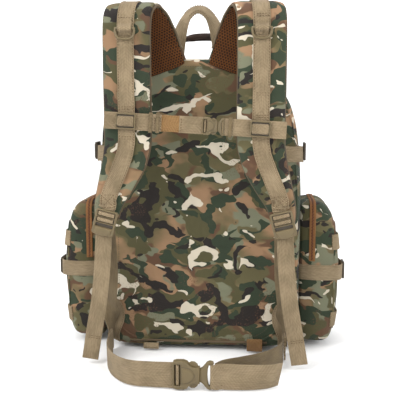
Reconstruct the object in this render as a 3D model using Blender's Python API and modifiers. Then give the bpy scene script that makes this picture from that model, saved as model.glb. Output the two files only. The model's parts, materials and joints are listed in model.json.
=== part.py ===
"""A hunting backpack: a camouflage bag with two side pockets, a front pouch and its carrying harness.

The bag stands on the floor at z = 0. +X is the right of someone facing the harness, -Y is the harness
side and +Z is up. The helpers below take millimetres and store metres.
"""

import math

import bmesh
import bpy
from mathutils import Matrix, Vector

MM = 0.001
SIDES = (("left", -1), ("right", 1))

# Main bag: half of its front outline (x, z), from the top centre to the base.
BAG_HALF = ((45, 471), (75, 460), (105, 446), (122, 434), (140, 416), (148, 402), (155, 380), (159, 359),
            (163, 300), (165, 243), (165, 60), (162, 35), (152, 16), (138, 4), (122, 0))
BAG_DEPTH = 180.0
BAG_EDGE = 20.0
BAG_WALL = 5.0
BAG_FRONT = BAG_DEPTH / 2

# Flap in the upper front of the bag: half of its outline.
FLAP_HALF = ((45, 440), (75, 429), (98, 415), (114, 395), (124, 370), (129, 330), (131, 228))
FLAP_GAP = 0.8
ZIP_TAPE = 9.0

# Side pocket on the right: its front outline. The lid is the upper outer part.
POCKET = ((165.6, 244), (195, 244), (207, 238), (217, 224), (223, 205), (228, 180), (230.5, 150), (231, 141),
          (231, 115), (230, 85), (227, 50), (224, 28), (218, 12), (208, 5), (165.6, 5))
POCKET_BACK, POCKET_FRONT = -60.0, 70.0
POCKET_EDGE = 15.0
POCKET_WALL = 4.0
POCKET_ZIP_X = 189.0
POCKET_LID_Z = 141.0
POCKET_OUTER_X = 231.0

# Pouch low on the front of the bag.
POUCH_HALF = ((112, 205), (121, 201), (125, 192), (125, 28), (121, 19), (112, 15))
POUCH_BACK, POUCH_FRONT = 90.6, 150.0
POUCH_EDGE = 12.0
POUCH_LID_Y = 122.0
POUCH_LID_Z = 121.0

# Shoulder straps: centre line of the left pad (x, y, z) with its width, from the panel to the lower end.
PAD_PATH = ((-52, -97, 461), (-58, -98, 485), (-74, -104, 517), (-88, -121, 539), (-95, -141, 541),
            (-98, -153, 528), (-99, -157, 500), (-99, -157, 420), (-99, -157, 343), (-107, -157, 312),
            (-118, -157, 285), (-128, -157, 260), (-133, -156, 235), (-135, -155, 214))
PAD_WIDTHS = (66, 68, 70, 70, 70, 70, 70, 70, 70, 64, 55, 45, 38, 30)
PAD_THICK = 10.0
LINER_THICK = 3.0
WEB_THICK = 1.6
WEB_WIDTH = 25.0
PAD_FRONT = -162.0
WEB_FRONT = -165.8
SWING_AXIS = (-92.0, 460.0)

# Waist belt.
BELT_WIDTH = 38.0
BELT_Z = 20.5
BELT_AXIS = (-116.0, 20.5)

COLOURS = {
    "camo_fabric": ((0.16, 0.16, 0.09, 1), 0.9, 0.0),
    "webbing": ((0.43, 0.33, 0.19, 1), 0.85, 0.0),
    "mesh_liner": ((0.14, 0.06, 0.02, 1), 0.95, 0.0),
    "hardware": ((0.23, 0.19, 0.09, 1), 0.5, 0.0),
    "zipper_tape": ((0.30, 0.15, 0.05, 1), 0.8, 0.0),
    "zip_metal": ((0.05, 0.05, 0.05, 1), 0.4, 0.8),
    "foam": ((0.05, 0.05, 0.05, 1), 0.95, 0.0),
    "frame_sheet": ((0.02, 0.02, 0.02, 1), 0.5, 0.0),
    "dark_grip": ((0.03, 0.015, 0.01, 1), 0.8, 0.0),
    "elastic": ((0.45, 0.22, 0.06, 1), 0.8, 0.0),
}


def new_collection(name):
    collection = bpy.data.collections.new(name)
    bpy.context.scene.collection.children.link(collection)
    return collection


def clear_scene():
    for obj in list(bpy.data.objects):
        bpy.data.objects.remove(obj)


def material(name, kind):
    colour, roughness, metallic = COLOURS[kind]
    made = bpy.data.materials.new(name + "_" + kind)
    made.use_nodes = True
    shader = made.node_tree.nodes["Principled BSDF"]
    shader.inputs["Base Color"].default_value = colour
    shader.inputs["Roughness"].default_value = roughness
    shader.inputs["Metallic"].default_value = metallic
    made.diffuse_color = colour
    return made


def add_piece(name, mesh, kind, pivot=(0, 0, 0)):
    """Links a mesh given in world metres as a piece, with its origin at the pivot (mm)."""
    origin = Vector(pivot) * MM
    mesh.transform(Matrix.Translation(-origin))
    mesh.materials.clear()
    mesh.materials.append(material(name, kind))
    obj = bpy.data.objects.new(name, mesh)
    obj.location = origin
    PIECES.objects.link(obj)
    return obj


def add_cutter(name, mesh):
    obj = bpy.data.objects.new(name, mesh)
    obj.hide_render = True
    obj.display_type = "WIRE"
    CUTTERS.objects.link(obj)
    return obj


def mesh_from(name, bm):
    bmesh.ops.recalc_face_normals(bm, faces=bm.faces)
    mesh = bpy.data.meshes.new(name)
    bm.to_mesh(mesh)
    bm.free()
    return mesh


def curve_mesh(name, curve, to_world):
    """The closed mesh of a curve, its loose caps welded, moved by a matrix."""
    holder = bpy.data.objects.new(name + "_curve", curve)
    bpy.context.scene.collection.objects.link(holder)
    graph = bpy.context.evaluated_depsgraph_get()
    loose = bpy.data.meshes.new_from_object(holder.evaluated_get(graph))
    bpy.data.objects.remove(holder)
    bm = bmesh.new()
    bm.from_mesh(loose)
    bpy.data.meshes.remove(loose)
    bmesh.ops.remove_doubles(bm, verts=bm.verts, dist=0.002 * MM)
    bmesh.ops.transform(bm, matrix=to_world, verts=bm.verts)
    return mesh_from(name, bm)


def add_loop(curve, points):
    spline = curve.splines.new("POLY")
    spline.points.add(len(points) - 1)
    for point, (x, y) in zip(spline.points, points):
        point.co = (x * MM, y * MM, 0, 1)
    spline.use_cyclic_u = True


def facing_y(y):
    """Turns a flat outline (x, z) to stand in the XZ plane at this depth."""
    return Matrix.Translation((0, y * MM, 0)) @ Matrix.Rotation(math.pi / 2, 4, "X")


def body_mesh(name, points, depth, edge, wall, y_mid):
    """A solid with this front outline and rounded edges; wall shrinks it evenly on all sides."""
    curve = bpy.data.curves.new(name, "CURVE")
    curve.dimensions = "2D"
    curve.fill_mode = "BOTH"
    curve.offset = -edge * MM
    curve.bevel_depth = (edge - wall) * MM
    curve.bevel_resolution = 2
    curve.extrude = (depth / 2 - edge) * MM
    add_loop(curve, points)
    return curve_mesh(name, curve, facing_y(y_mid))


def slab_mesh(name, loops, thick, to_world):
    """A flat plate from an outer loop and any hole loops (mm), its middle at the plane of the matrix."""
    curve = bpy.data.curves.new(name, "CURVE")
    curve.dimensions = "2D"
    curve.fill_mode = "BOTH"
    curve.extrude = thick / 2 * MM
    for loop in loops:
        add_loop(curve, loop)
    return curve_mesh(name, curve, to_world)


def mirrored(half):
    """A whole outline from its right half."""
    return list(half) + [(-x, z) for x, z in reversed(half)]


def rounded(x0, z0, x1, z1, radius, steps=3):
    """A rectangle with rounded corners."""
    points = []
    for cx, cz, start in ((x1, z1, 0), (x0, z1, 90), (x0, z0, 180), (x1, z0, 270)):
        inner_x = cx - radius if cx == x1 else cx + radius
        inner_z = cz - radius if cz == z1 else cz + radius
        for step in range(steps + 1):
            angle = math.radians(start + 90 * step / steps)
            points.append((inner_x + radius * math.cos(angle), inner_z + radius * math.sin(angle)))
    return points


def block_mesh(name, low, high, edge=0.0, segments=2):
    """A box between two corners (mm), its edges rounded."""
    size = [high[i] - low[i] for i in range(3)]
    centre = [(high[i] + low[i]) / 2 * MM for i in range(3)]
    bm = bmesh.new()
    scale = Matrix.Diagonal([side * MM for side in size] + [1])
    bmesh.ops.create_cube(bm, size=1, matrix=Matrix.Translation(centre) @ scale)
    if edge:
        bmesh.ops.bevel(bm, geom=bm.edges[:], offset=edge * MM, segments=segments, profile=0.5,
                        affect="EDGES", clamp_overlap=True)
    return mesh_from(name, bm)


def sample(points, steps):
    """A smooth line through the points, with this many steps between neighbours."""
    found = []
    for i in range(len(points) - 1):
        before = Vector(points[max(i - 1, 0)])
        start, end = Vector(points[i]), Vector(points[i + 1])
        after = Vector(points[min(i + 2, len(points) - 1)])
        for step in range(steps):
            t = step / steps
            found.append(0.5 * (2 * start + (end - before) * t + (2 * before - 5 * start + 4 * end - after) * t**2
                                + (3 * start - before - 3 * end + after) * t**3))
    found.append(Vector(points[-1]))
    return found


def widths_along(widths, steps):
    found = []
    for start, end in zip(widths, widths[1:]):
        found += [start + (end - start) * step / steps for step in range(steps)]
    return found + [widths[-1]]


def ribbon_mesh(name, line, widths, across=None, facing=None, offset=0.0, columns=1):
    """An open strip along the line; its width runs along across, or square to facing. offset moves it off the line."""
    last = len(line) - 1
    bm = bmesh.new()
    bmesh.ops.create_grid(bm, x_segments=last, y_segments=columns, size=1)
    for vertex in bm.verts:
        i = round((vertex.co.x + 1) / 2 * last)
        tangent = (line[min(i + 1, last)] - line[max(i - 1, 0)]).normalized()
        if facing:
            side = tangent.cross(Vector(facing)).normalized()
        else:
            side = Vector(across) - tangent * tangent.dot(Vector(across))
            side.normalize()
        normal = side.cross(tangent)
        vertex.co = (line[i] + side * (vertex.co.y * widths[i] / 2) + normal * offset) * MM
    return mesh_from(name, bm)


def strap(name, kind, points, width, thick, steps=2, pivot=(0, 0, 0), keep=(0, None), **how):
    """A strip of even thickness along control points; keep is the range of line samples that it covers."""
    line = sample(points, steps)
    widths = widths_along(width, steps) if isinstance(width, tuple) else [width] * len(line)
    line, widths = line[slice(*keep)], widths[slice(*keep)]
    obj = add_piece(name, ribbon_mesh(name, line, widths, **how), kind, pivot)
    solidify = obj.modifiers.new("thickness", "SOLIDIFY")
    solidify.thickness = thick * MM
    solidify.offset = 0
    solidify.use_even_offset = True
    return obj


def boolean(obj, other, operation):
    modifier = obj.modifiers.new(operation.lower() + "_" + other.name, "BOOLEAN")
    modifier.operation = operation
    modifier.solver = "EXACT"
    modifier.object = other


def flip(points, sign):
    return [(sign * x, *rest) for x, *rest in points]


def build_bag():
    outline = mirrored(BAG_HALF)
    shell = add_piece("main_shell", body_mesh("main_shell", outline, BAG_DEPTH, BAG_EDGE, 0, 0), "camo_fabric")
    hollow = add_cutter("main_hollow", body_mesh("main_hollow", outline, BAG_DEPTH, BAG_EDGE, BAG_WALL, 0))
    mouth = add_cutter("main_mouth", slab_mesh("main_mouth", [mirrored(FLAP_HALF)], 16, facing_y(BAG_FRONT)))
    boolean(shell, hollow, "DIFFERENCE")
    boolean(shell, mouth, "DIFFERENCE")
    flap_outline = [(x * 0.9935, z - FLAP_GAP if z > 230 else z + FLAP_GAP) for x, z in mirrored(FLAP_HALF)]
    flap = slab_mesh("main_flap", [flap_outline], BAG_WALL, facing_y(BAG_FRONT - BAG_WALL / 2))
    add_piece("main_flap", flap, "camo_fabric", (0, BAG_FRONT, 228 + FLAP_GAP))
    pad = rounded(-120, 30, 120, 420, 40)
    add_piece("back_foam_pad", slab_mesh("back_foam_pad", [pad], 8, facing_y(-80.5)), "foam")
    sheet = rounded(-112, 38, 112, 412, 36)
    add_piece("frame_sheet", slab_mesh("frame_sheet", [sheet], 2, facing_y(-74.8)), "frame_sheet")


def build_main_zip():
    left = [(-x, z) for x, z in reversed(FLAP_HALF)]
    edge = left + list(FLAP_HALF)
    grown = [(x * 1.045, BAG_FRONT + 1.1, z + 5.5 if z > 230 else z) for x, z in edge]
    strap("main_zipper", "zipper_tape", grown, ZIP_TAPE, 1.4, facing=(0, 1, 0))
    x = 131 * 1.045
    slider = block_mesh("main_zip_slider", (x - 5, BAG_FRONT + 2.2, 236), (x + 5, BAG_FRONT + 7, 266), 1.6)
    add_piece("main_zip_slider", slider, "zip_metal", (x, BAG_FRONT + 4, 250))


def build_pocket(side, sign):
    outline = flip(POCKET, sign)
    depth = POCKET_FRONT - POCKET_BACK
    middle = (POCKET_FRONT + POCKET_BACK) / 2
    hollow = add_cutter("pocket_hollow_" + side,
                        body_mesh("pocket_hollow", outline, depth, POCKET_EDGE, POCKET_WALL, middle))
    ends = sorted((sign * POCKET_ZIP_X, sign * 260))
    box = add_cutter("pocket_lid_cut_" + side, block_mesh("pocket_lid_cut", (ends[0], -90, POCKET_LID_Z),
                                                          (ends[1], 100, 270)))
    lid_ends = sorted((sign * (POCKET_ZIP_X + 0.8), sign * 262))
    lid_box = add_cutter("pocket_lid_keep_" + side, block_mesh("pocket_lid_keep", (lid_ends[0], -92, POCKET_LID_Z + 0.8),
                                                               (lid_ends[1], 102, 272)))
    body = add_piece("pocket_body_" + side, body_mesh("pocket_body", outline, depth, POCKET_EDGE, 0, middle),
                     "camo_fabric")
    boolean(body, hollow, "DIFFERENCE")
    boolean(body, box, "DIFFERENCE")
    lid = add_piece("pocket_lid_" + side, body_mesh("pocket_lid", outline, depth, POCKET_EDGE, 0, middle),
                    "camo_fabric", (sign * POCKET_OUTER_X, middle, POCKET_LID_Z + 0.8))
    boolean(lid, hollow, "DIFFERENCE")
    boolean(lid, lid_box, "INTERSECT")
    build_pocket_zip(side, sign)
    build_pocket_strap(side, sign)


def corner(centre_a, centre_b, radius, start, stop, steps=4):
    """Points on an arc in a plane, from start to stop degrees."""
    angles = [math.radians(start + (stop - start) * step / steps) for step in range(steps + 1)]
    return [(centre_a + radius * math.cos(angle), centre_b + radius * math.sin(angle)) for angle in angles]


def build_pocket_zip(side, sign):
    x = sign * (POCKET_ZIP_X - 5.2)
    radius = POCKET_EDGE + 1.4
    top = 244 - POCKET_EDGE
    line = [(POCKET_BACK - 1.4, 146)]
    line += corner(POCKET_BACK + POCKET_EDGE, top, radius, 180, 90)
    line += corner(POCKET_FRONT - POCKET_EDGE, top, radius, 90, 0)
    line.append((POCKET_FRONT + 1.4, 146))
    path = [(x, y, z) for y, z in line]
    strap("pocket_zipper_" + side, "zipper_tape", path, ZIP_TAPE, 1.4, steps=1, across=(1, 0, 0))
    y = POCKET_FRONT + 2.6
    slider = block_mesh("pocket_zip_slider", (x - 4.5, y, 148), (x + 4.5, y + 4.6, 172), 1.4)
    add_piece("pocket_zip_slider_" + side, slider, "zip_metal", (x, y + 2.3, 160))


def build_pocket_strap(side, sign):
    radius = POCKET_EDGE + 1.7
    outer = POCKET_OUTER_X - POCKET_EDGE
    line = [(171, POCKET_BACK - 1.7)]
    line += corner(outer, POCKET_BACK + POCKET_EDGE, radius, 270, 360)
    line += corner(outer, POCKET_FRONT - POCKET_EDGE, radius, 0, 90)
    line.append((171, POCKET_FRONT + 1.7))
    path = [(sign * x, y, 127) for x, y in line]
    strap("pocket_strap_" + side, "webbing", path, WEB_WIDTH, WEB_THICK, steps=1, across=(0, 0, 1))
    inner = POCKET_OUTER_X + 3.1
    to_world = Matrix.Translation((sign * (inner + 2.5) * MM, -24 * MM, 127 * MM)) @ turned("side")
    loops = [rounded(-15, -14, 15, 14, 3), rounded(-11, -10.5, -7, 10.5, 1), rounded(-3, -10.5, 1, 10.5, 1)]
    buckle = slab_mesh("pocket_strap_buckle", loops, 5, to_world)
    add_piece("pocket_strap_buckle_" + side, buckle, "hardware", (sign * (inner + 2.5), -39, 127))


def turned(how):
    """Local axes of flat hardware: 'side' lies on a side face (x along Y, y along Z), 'back' faces the wearer."""
    if how == "side":
        return Matrix(((0, 0, 1, 0), (1, 0, 0, 0), (0, 1, 0, 0), (0, 0, 0, 1)))
    return Matrix(((1, 0, 0, 0), (0, 0, -1, 0), (0, 1, 0, 0), (0, 0, 0, 1)))


def build_side_strap(side, sign):
    path = [(sign * 163.8, -66, 322), (sign * 163.8, 0, 322), (sign * 163.8, 66, 322)]
    strap("side_strap_" + side, "webbing", path, WEB_WIDTH, WEB_THICK, steps=1, across=(-0.068 * sign, 0, 1))
    to_world = Matrix.Translation((sign * 168.6 * MM, -46 * MM, 324 * MM)) @ turned("side")
    loops = [rounded(-15, -14, 15, 14, 3), rounded(-11, -10.5, -7, 10.5, 1), rounded(-3, -10.5, 1, 10.5, 1)]
    add_piece("side_strap_buckle_" + side, slab_mesh("side_strap_buckle", loops, 5, to_world), "hardware",
              (sign * 168.6, -61, 324))


def build_pouch():
    outline = mirrored(POUCH_HALF)
    depth = POUCH_FRONT - POUCH_BACK
    middle = (POUCH_FRONT + POUCH_BACK) / 2
    hollow = add_cutter("pouch_hollow", body_mesh("pouch_hollow", outline, depth, POUCH_EDGE, POCKET_WALL, middle))
    box = add_cutter("pouch_lid_cut", block_mesh("pouch_lid_cut", (-150, POUCH_LID_Y, POUCH_LID_Z), (150, 180, 230)))
    lid_box = add_cutter("pouch_lid_keep", block_mesh("pouch_lid_keep", (-152, POUCH_LID_Y + 0.8, POUCH_LID_Z + 0.8),
                                                      (152, 182, 232)))
    pouch = add_piece("front_pouch", body_mesh("front_pouch", outline, depth, POUCH_EDGE, 0, middle), "camo_fabric")
    boolean(pouch, hollow, "DIFFERENCE")
    boolean(pouch, box, "DIFFERENCE")
    lid = add_piece("front_pouch_lid", body_mesh("front_pouch_lid", outline, depth, POUCH_EDGE, 0, middle),
                    "camo_fabric", (0, POUCH_FRONT, POUCH_LID_Z + 0.8))
    boolean(lid, hollow, "DIFFERENCE")
    boolean(lid, lid_box, "INTERSECT")


def build_handles():
    half = [(48, 474), (45, 496), (36, 524), (20, 544)]
    arch = [(-x, -72, z) for x, z in half] + [(0, -72, 551)] + [(x, -72, z) for x, z in reversed(half)]
    strap("haul_handle", "webbing", arch, 22, 6, pivot=(0, -61, 474), across=(0, 1, 0))
    half = [(62, 468), (60, 486), (48, 504), (26, 512)]
    arch = [(-x, 60, z) for x, z in half] + [(0, 60, 514)] + [(x, 60, z) for x, z in reversed(half)]
    strap("grip_handle", "dark_grip", arch, 16, 9, pivot=(0, 68, 468), across=(0, 1, 0))


def build_shoulder(side, sign):
    path = flip(PAD_PATH, -sign)
    pivot = (sign * 52, *SWING_AXIS)
    strap("shoulder_pad_" + side, "camo_fabric", path, PAD_WIDTHS, PAD_THICK, pivot=pivot, columns=4, across=(1, 0, 0))
    liner_widths = tuple(width - 6 for width in PAD_WIDTHS)
    inner = (PAD_THICK + LINER_THICK) / 2 + 3.2
    strap("shoulder_liner_" + side, "mesh_liner", path, liner_widths, LINER_THICK, pivot=pivot, keep=(0, 25),
          columns=4, across=(1, 0, 0), offset=inner)
    outer = PAD_THICK / 2 + 2.0 + WEB_THICK / 2
    strap("shoulder_webbing_" + side, "webbing", path, WEB_WIDTH, WEB_THICK, pivot=pivot, keep=(6, 24),
          across=(1, 0, 0), offset=-outer)
    build_d_ring(side, sign)
    build_ladderlock(side, sign)
    tail = [(135, -163.4, 224), (136, -163.4, 206), (139, -163.4, 157), (145, -163.4, 100), (152, -163.4, 60),
            (161, -163.4, 8)]
    strap("tail_" + side, "webbing", flip(tail, sign), WEB_WIDTH, WEB_THICK, pivot=pivot, across=(1, 0, 0))
    lower = [(133, -150, 200), (134, -131, 147), (137, -112, 92), (139, -95, 40)]
    strap("lower_strap_" + side, "webbing", flip(lower, sign), WEB_WIDTH, WEB_THICK, steps=1,
          pivot=(sign * 139, -95, 40), across=(1, 0, 0))


def tube_mesh(name, points, radius):
    """A round bar bent into a closed loop."""
    curve = bpy.data.curves.new(name, "CURVE")
    curve.dimensions = "3D"
    curve.bevel_depth = radius * MM
    curve.bevel_resolution = 1
    spline = curve.splines.new("POLY")
    spline.points.add(len(points) - 1)
    for point, co in zip(spline.points, points):
        point.co = (*[value * MM for value in co], 1)
    spline.use_cyclic_u = True
    return curve_mesh(name, curve, Matrix.Identity(4))


def build_d_ring(side, sign):
    y, top = WEB_FRONT - 3.0, 508
    arc = corner(0, top - 4, 14, 0, -180, 8)
    loop = [(-14, top)] + [(14, top)] + arc
    ring = tube_mesh("dring", [(sign * 99 + x, y, z) for x, z in loop], 1.7)
    add_piece("dring_" + side, ring, "hardware", (sign * 99, y, top))


def build_ladderlock(side, sign):
    centre = (sign * 133, PAD_FRONT - 6, 224)
    lean = Matrix.Rotation(math.radians(-14 * sign), 4, "Y")
    to_world = Matrix.Translation(Vector(centre) * MM) @ lean @ turned("back")
    loops = [rounded(-17, -20, 17, 19, 5), rounded(-13, 10, 13, 14.5, 1.5), rounded(-13, 1, 13, 5.5, 1.5)]
    plate = slab_mesh("ladderlock", loops, 5, to_world)
    add_piece("ladderlock_" + side, plate, "hardware", Vector(centre) + lean @ Vector((0, 0, 17)))


def buckle_pieces(prefix, centre, lean, length, height, thick):
    """A side-release buckle: socket, plug and the plug's two arms. Its strap runs along the local x."""
    to_world = Matrix.Translation(Vector(centre) * MM) @ Matrix.Rotation(lean, 4, "Y") @ turned("back")

    def at(x, y):
        return to_world @ Vector((x * MM, y * MM, 0)) / MM

    low, high = -length / 2, length / 2
    split = low + 0.70 * length
    half = height / 2
    socket_loops = [rounded(low, -half, split, half, 0.1 * height),
                    rounded(low + 0.05 * length, -0.36 * height, low + 0.12 * length, 0.36 * height, 0.6)]
    socket = add_piece(prefix + "_female", slab_mesh(prefix + "_female", socket_loops, thick, to_world), "hardware",
                       at(low, 0))
    throat = slab_mesh(prefix + "_throat", [rounded(low + 0.24 * length, -height, high, height, 0.5)], 0.56 * thick,
                       to_world)
    boolean(socket, add_cutter(prefix + "_throat", throat), "DIFFERENCE")
    plug_loop = [(split + 0.6, -half + 1), (high, -half + 1), (high, half - 1), (split + 0.6, half - 1),
                 (split + 0.6, 0.10 * height), (low + 0.36 * length, 0.08 * height),
                 (low + 0.36 * length, -0.08 * height), (split + 0.6, -0.10 * height)]
    hole = rounded(high - 0.13 * length, -0.36 * height, high - 0.06 * length, 0.36 * height, 0.6)
    plug = slab_mesh(prefix + "_male", [plug_loop, hole], 0.42 * thick, to_world)
    add_piece(prefix + "_male", plug, "hardware", at(split, 0))
    for name, sign in (("top", 1), ("bottom", -1)):
        arm = [(split - 0.1, 0.30 * height), (split - 0.1, 0.42 * height), (low + 0.52 * length, 0.43 * height),
               (low + 0.48 * length, 0.49 * height), (low + 0.32 * length, 0.49 * height),
               (low + 0.29 * length, 0.40 * height), (low + 0.34 * length, 0.32 * height)]
        loop = [(x, y * sign) for x, y in arm]
        prong = slab_mesh(prefix + "_prong", [loop], 0.42 * thick, to_world)
        add_piece(prefix + "_prong_" + name, prong, "hardware", at(split - 0.1, sign * 0.36 * height))


def build_sternum():
    left, right = Vector((-99, 0, 375)), Vector((98, 0, 364))
    run = right - left
    lean = math.atan2(-run.z, run.x)
    y_web = WEB_FRONT - 0.5 - WEB_THICK / 2

    def on_line(x):
        return (x, y_web, left.z + run.z * (x - left.x) / run.x)

    for side, point in (("left", left), ("right", right)):
        centre = (point.x, y_web - 3.5, point.z)
        to_world = Matrix.Translation(Vector(centre) * MM) @ Matrix.Rotation(lean, 4, "Y") @ turned("back")
        loops = [rounded(-15, -12, 15, 12, 3), rounded(-10.5, -9, -5.5, 9, 1), rounded(5.5, -9, 10.5, 9, 1)]
        slider = slab_mesh("sternum_slider", loops, 4, to_world)
        add_piece("sternum_slider_" + side, slider, "hardware", centre)
    strap("sternum_web_left", "webbing", [on_line(-132), on_line(-64)], 24, WEB_THICK, steps=2, across=(0, 0, 1))
    strap("sternum_elastic", "elastic", [on_line(-62), on_line(12)], 24, 2.0, steps=2, across=(0, 0, 1))
    strap("sternum_web_right", "webbing", [on_line(49), on_line(136)], 24, WEB_THICK, steps=2, across=(0, 0, 1),
          pivot=on_line(49))
    x, y, z = on_line(30.5)
    buckle_pieces("sternum_buckle", (x, y, z), lean, 34, 26, 8)


def build_belt():
    hip = (0, *BELT_AXIS)
    left = [(-136, -112, BELT_Z), (-136, -140, BELT_Z), (-132, -170, BELT_Z), (-120, -206, BELT_Z),
            (-100, -234, BELT_Z), (-74, -248, BELT_Z), (-24, -250, BELT_Z)]
    strap("waist_web_left", "webbing", left, BELT_WIDTH, 2.2, pivot=hip, across=(0, 0, 1))
    back = [(136, -112, BELT_Z), (136, -140, BELT_Z), (130, -164, BELT_Z), (112, -190, BELT_Z),
            (84, -212, BELT_Z), (56, -229, BELT_Z), (42, -240, BELT_Z)]
    strap("waist_web_back", "webbing", back, BELT_WIDTH, 2.2, pivot=hip, across=(0, 0, 1))
    front = [(41, -250, BELT_Z), (80, -251, BELT_Z), (112, -246, BELT_Z), (130, -234, BELT_Z)]
    strap("waist_web_right", "webbing", front, BELT_WIDTH, 2.2, pivot=(41, -250, BELT_Z), across=(0, 0, 1))
    buckle_pieces("waist_buckle", (8, -250, 22), 0.0, 60, 42, 11)
    for side, sign in SIDES:
        wing = [(sign * 140, -91.2, 19), (sign * 140, -122, 19)]
        strap("wing_" + side, "webbing", wing, (32, 30), 2.5, steps=1, across=(0, 0, 1))


def build_bottom_loops():
    for side, x in (("left", -76), ("right", 92)):
        loop = block_mesh("bottom_loop", (x - 12.5, -95.5, 2), (x + 12.5, -91, 24), 1.2)
        add_piece("bottom_loop_" + side, loop, "webbing", (x, -93.2, 23))


clear_scene()
PIECES = new_collection("hunting_backpack")
CUTTERS = new_collection("cutters")
build_bag()
build_main_zip()
build_pouch()
build_handles()
for side_name, side_sign in SIDES:
    build_pocket(side_name, side_sign)
    build_side_strap(side_name, side_sign)
    build_shoulder(side_name, side_sign)
build_sternum()
build_belt()
build_bottom_loops()
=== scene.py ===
"""The looks of the hunting backpack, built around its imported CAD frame.

Lengths are metres; MM turns millimetres into metres. +X is the right of someone who faces the harness,
-Y is the harness side and +Z is up. Places come from the CAD nodes' boxes and sections. Soft goods are
simulated as cloth; straps, buckles, zips, piping and stitches are modelled directly.
"""

import json
import math
from collections import namedtuple

import bmesh
import bpy
import numpy as np
from mathutils import Matrix, Vector, noise
from mathutils.bvhtree import BVHTree
from mathutils.geometry import convex_hull_2d


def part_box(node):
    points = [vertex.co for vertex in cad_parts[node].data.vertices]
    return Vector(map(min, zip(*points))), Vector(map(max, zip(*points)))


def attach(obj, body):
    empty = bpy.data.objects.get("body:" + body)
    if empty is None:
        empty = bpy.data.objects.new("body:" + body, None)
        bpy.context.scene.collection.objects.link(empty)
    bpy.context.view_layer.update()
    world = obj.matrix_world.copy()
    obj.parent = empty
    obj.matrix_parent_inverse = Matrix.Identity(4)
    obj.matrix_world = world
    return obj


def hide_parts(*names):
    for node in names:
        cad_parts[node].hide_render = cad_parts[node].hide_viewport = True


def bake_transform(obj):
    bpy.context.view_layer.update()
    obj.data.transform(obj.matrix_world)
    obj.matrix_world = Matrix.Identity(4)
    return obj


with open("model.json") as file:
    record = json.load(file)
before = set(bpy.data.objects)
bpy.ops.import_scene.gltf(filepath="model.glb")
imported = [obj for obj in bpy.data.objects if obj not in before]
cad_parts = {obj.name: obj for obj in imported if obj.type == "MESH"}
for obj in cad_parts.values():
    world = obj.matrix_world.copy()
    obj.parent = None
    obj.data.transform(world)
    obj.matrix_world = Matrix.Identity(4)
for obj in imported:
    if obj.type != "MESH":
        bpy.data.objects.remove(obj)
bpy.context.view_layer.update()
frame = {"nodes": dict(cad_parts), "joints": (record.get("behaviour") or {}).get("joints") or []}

MM = 0.001
SIDES = (("left", -1), ("right", 1))
X, Y, Z = Vector((1, 0, 0)), Vector((0, 1, 0)), Vector((0, 0, 1))
WEB_THICK = 1.6 * MM
WEB_WIDTH = 25 * MM
BELT_WIDTH = 38 * MM
CLOTH_THICK = 2.5 * MM
POCKET_Y = 5 * MM
SKIN_INSET = 3 * MM

Station = namedtuple("Station", "point side normal width thick")


# ---------------------------------------------------------------- materials


def srgb(red, green, blue):
    """An 8-bit display colour as linear RGBA."""
    def linear(value):
        value /= 255
        return value / 12.92 if value <= 0.04045 else ((value + 0.055) / 1.055) ** 2.4
    return (linear(red), linear(green), linear(blue), 1)


class Graph:
    """A material whose nodes are added call by call."""

    def __init__(self, name, roughness):
        self.material = bpy.data.materials.new(name)
        self.material.use_nodes = True
        self.tree = self.material.node_tree
        self.shader = self.tree.nodes["Principled BSDF"]
        self.shader.inputs["Roughness"].default_value = roughness
        self.shader.inputs["Specular IOR Level"].default_value = 0.25 if roughness > 0.8 else 0.5

    def feed(self, socket, value):
        if isinstance(value, bpy.types.NodeSocket):
            self.tree.links.new(value, socket)
        else:
            socket.default_value = value

    def node(self, kind, settings, inputs):
        made = self.tree.nodes.new("ShaderNode" + kind)
        for key, value in settings.items():
            setattr(made, key, value)
        for key, value in inputs.items():
            self.feed(made.inputs[key], value)
        return made

    def maths(self, operation, *values):
        return self.node("Math", {"operation": operation}, dict(enumerate(values))).outputs[0]

    def vector(self, operation, *values):
        return self.node("VectorMath", {"operation": operation}, dict(enumerate(values))).outputs[0]

    def rest(self):
        """The place of each point at rest, which stays with the cloth in every pose."""
        return self.node("Attribute", {"attribute_name": "rest"}, {}).outputs["Vector"]

    def inner(self):
        """The same for a CAD node that is kept as it is."""
        return self.node("TexCoord", {}, {}).outputs["Object"]

    def uv(self):
        """Distance along a strap in x and across it in y, in metres."""
        return self.node("UVMap", {"uv_map": "run"}, {}).outputs["UV"]

    def parts(self, vector):
        return self.node("SeparateXYZ", {}, {"Vector": vector}).outputs

    def noise(self, vector, scale, detail=2.0, colour=False):
        made = self.node("TexNoise", {}, {"Vector": vector, "Scale": scale, "Detail": detail})
        return made.outputs["Color" if colour else "Fac"]

    def scaled(self, vector, scale, offset=(0, 0, 0)):
        return self.node("Mapping", {}, {"Vector": vector, "Scale": scale, "Location": offset}).outputs[0]

    def mix(self, factor, low, high):
        made = self.node("Mix", {"data_type": "RGBA"}, {0: factor, 6: low, 7: high})
        return made.outputs[2]

    def step(self, value, low, high, out_low=0.0, out_high=1.0):
        settings = {"interpolation_type": "SMOOTHSTEP"}
        inputs = {0: value, 1: low, 2: high, 3: out_low, 4: out_high}
        return self.node("MapRange", settings, inputs).outputs[0]

    def wave(self, value, period):
        return self.maths("SINE", self.maths("MULTIPLY", value, 2 * math.pi / period))

    def paint(self, colour=None, roughness=None, height=None, distance=0.0003, strength=1.0, sheen=0.0):
        if colour is not None:
            self.feed(self.shader.inputs["Base Color"], colour)
        if roughness is not None:
            self.feed(self.shader.inputs["Roughness"], roughness)
        if height is not None:
            bump = self.node("Bump", {}, {"Height": height, "Distance": distance, "Strength": strength})
            self.feed(self.shader.inputs["Normal"], bump.outputs[0])
        if sheen:
            self.shader.inputs["Sheen Weight"].default_value = sheen
            self.shader.inputs["Sheen Roughness"].default_value = 0.5
        return self.material


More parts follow.
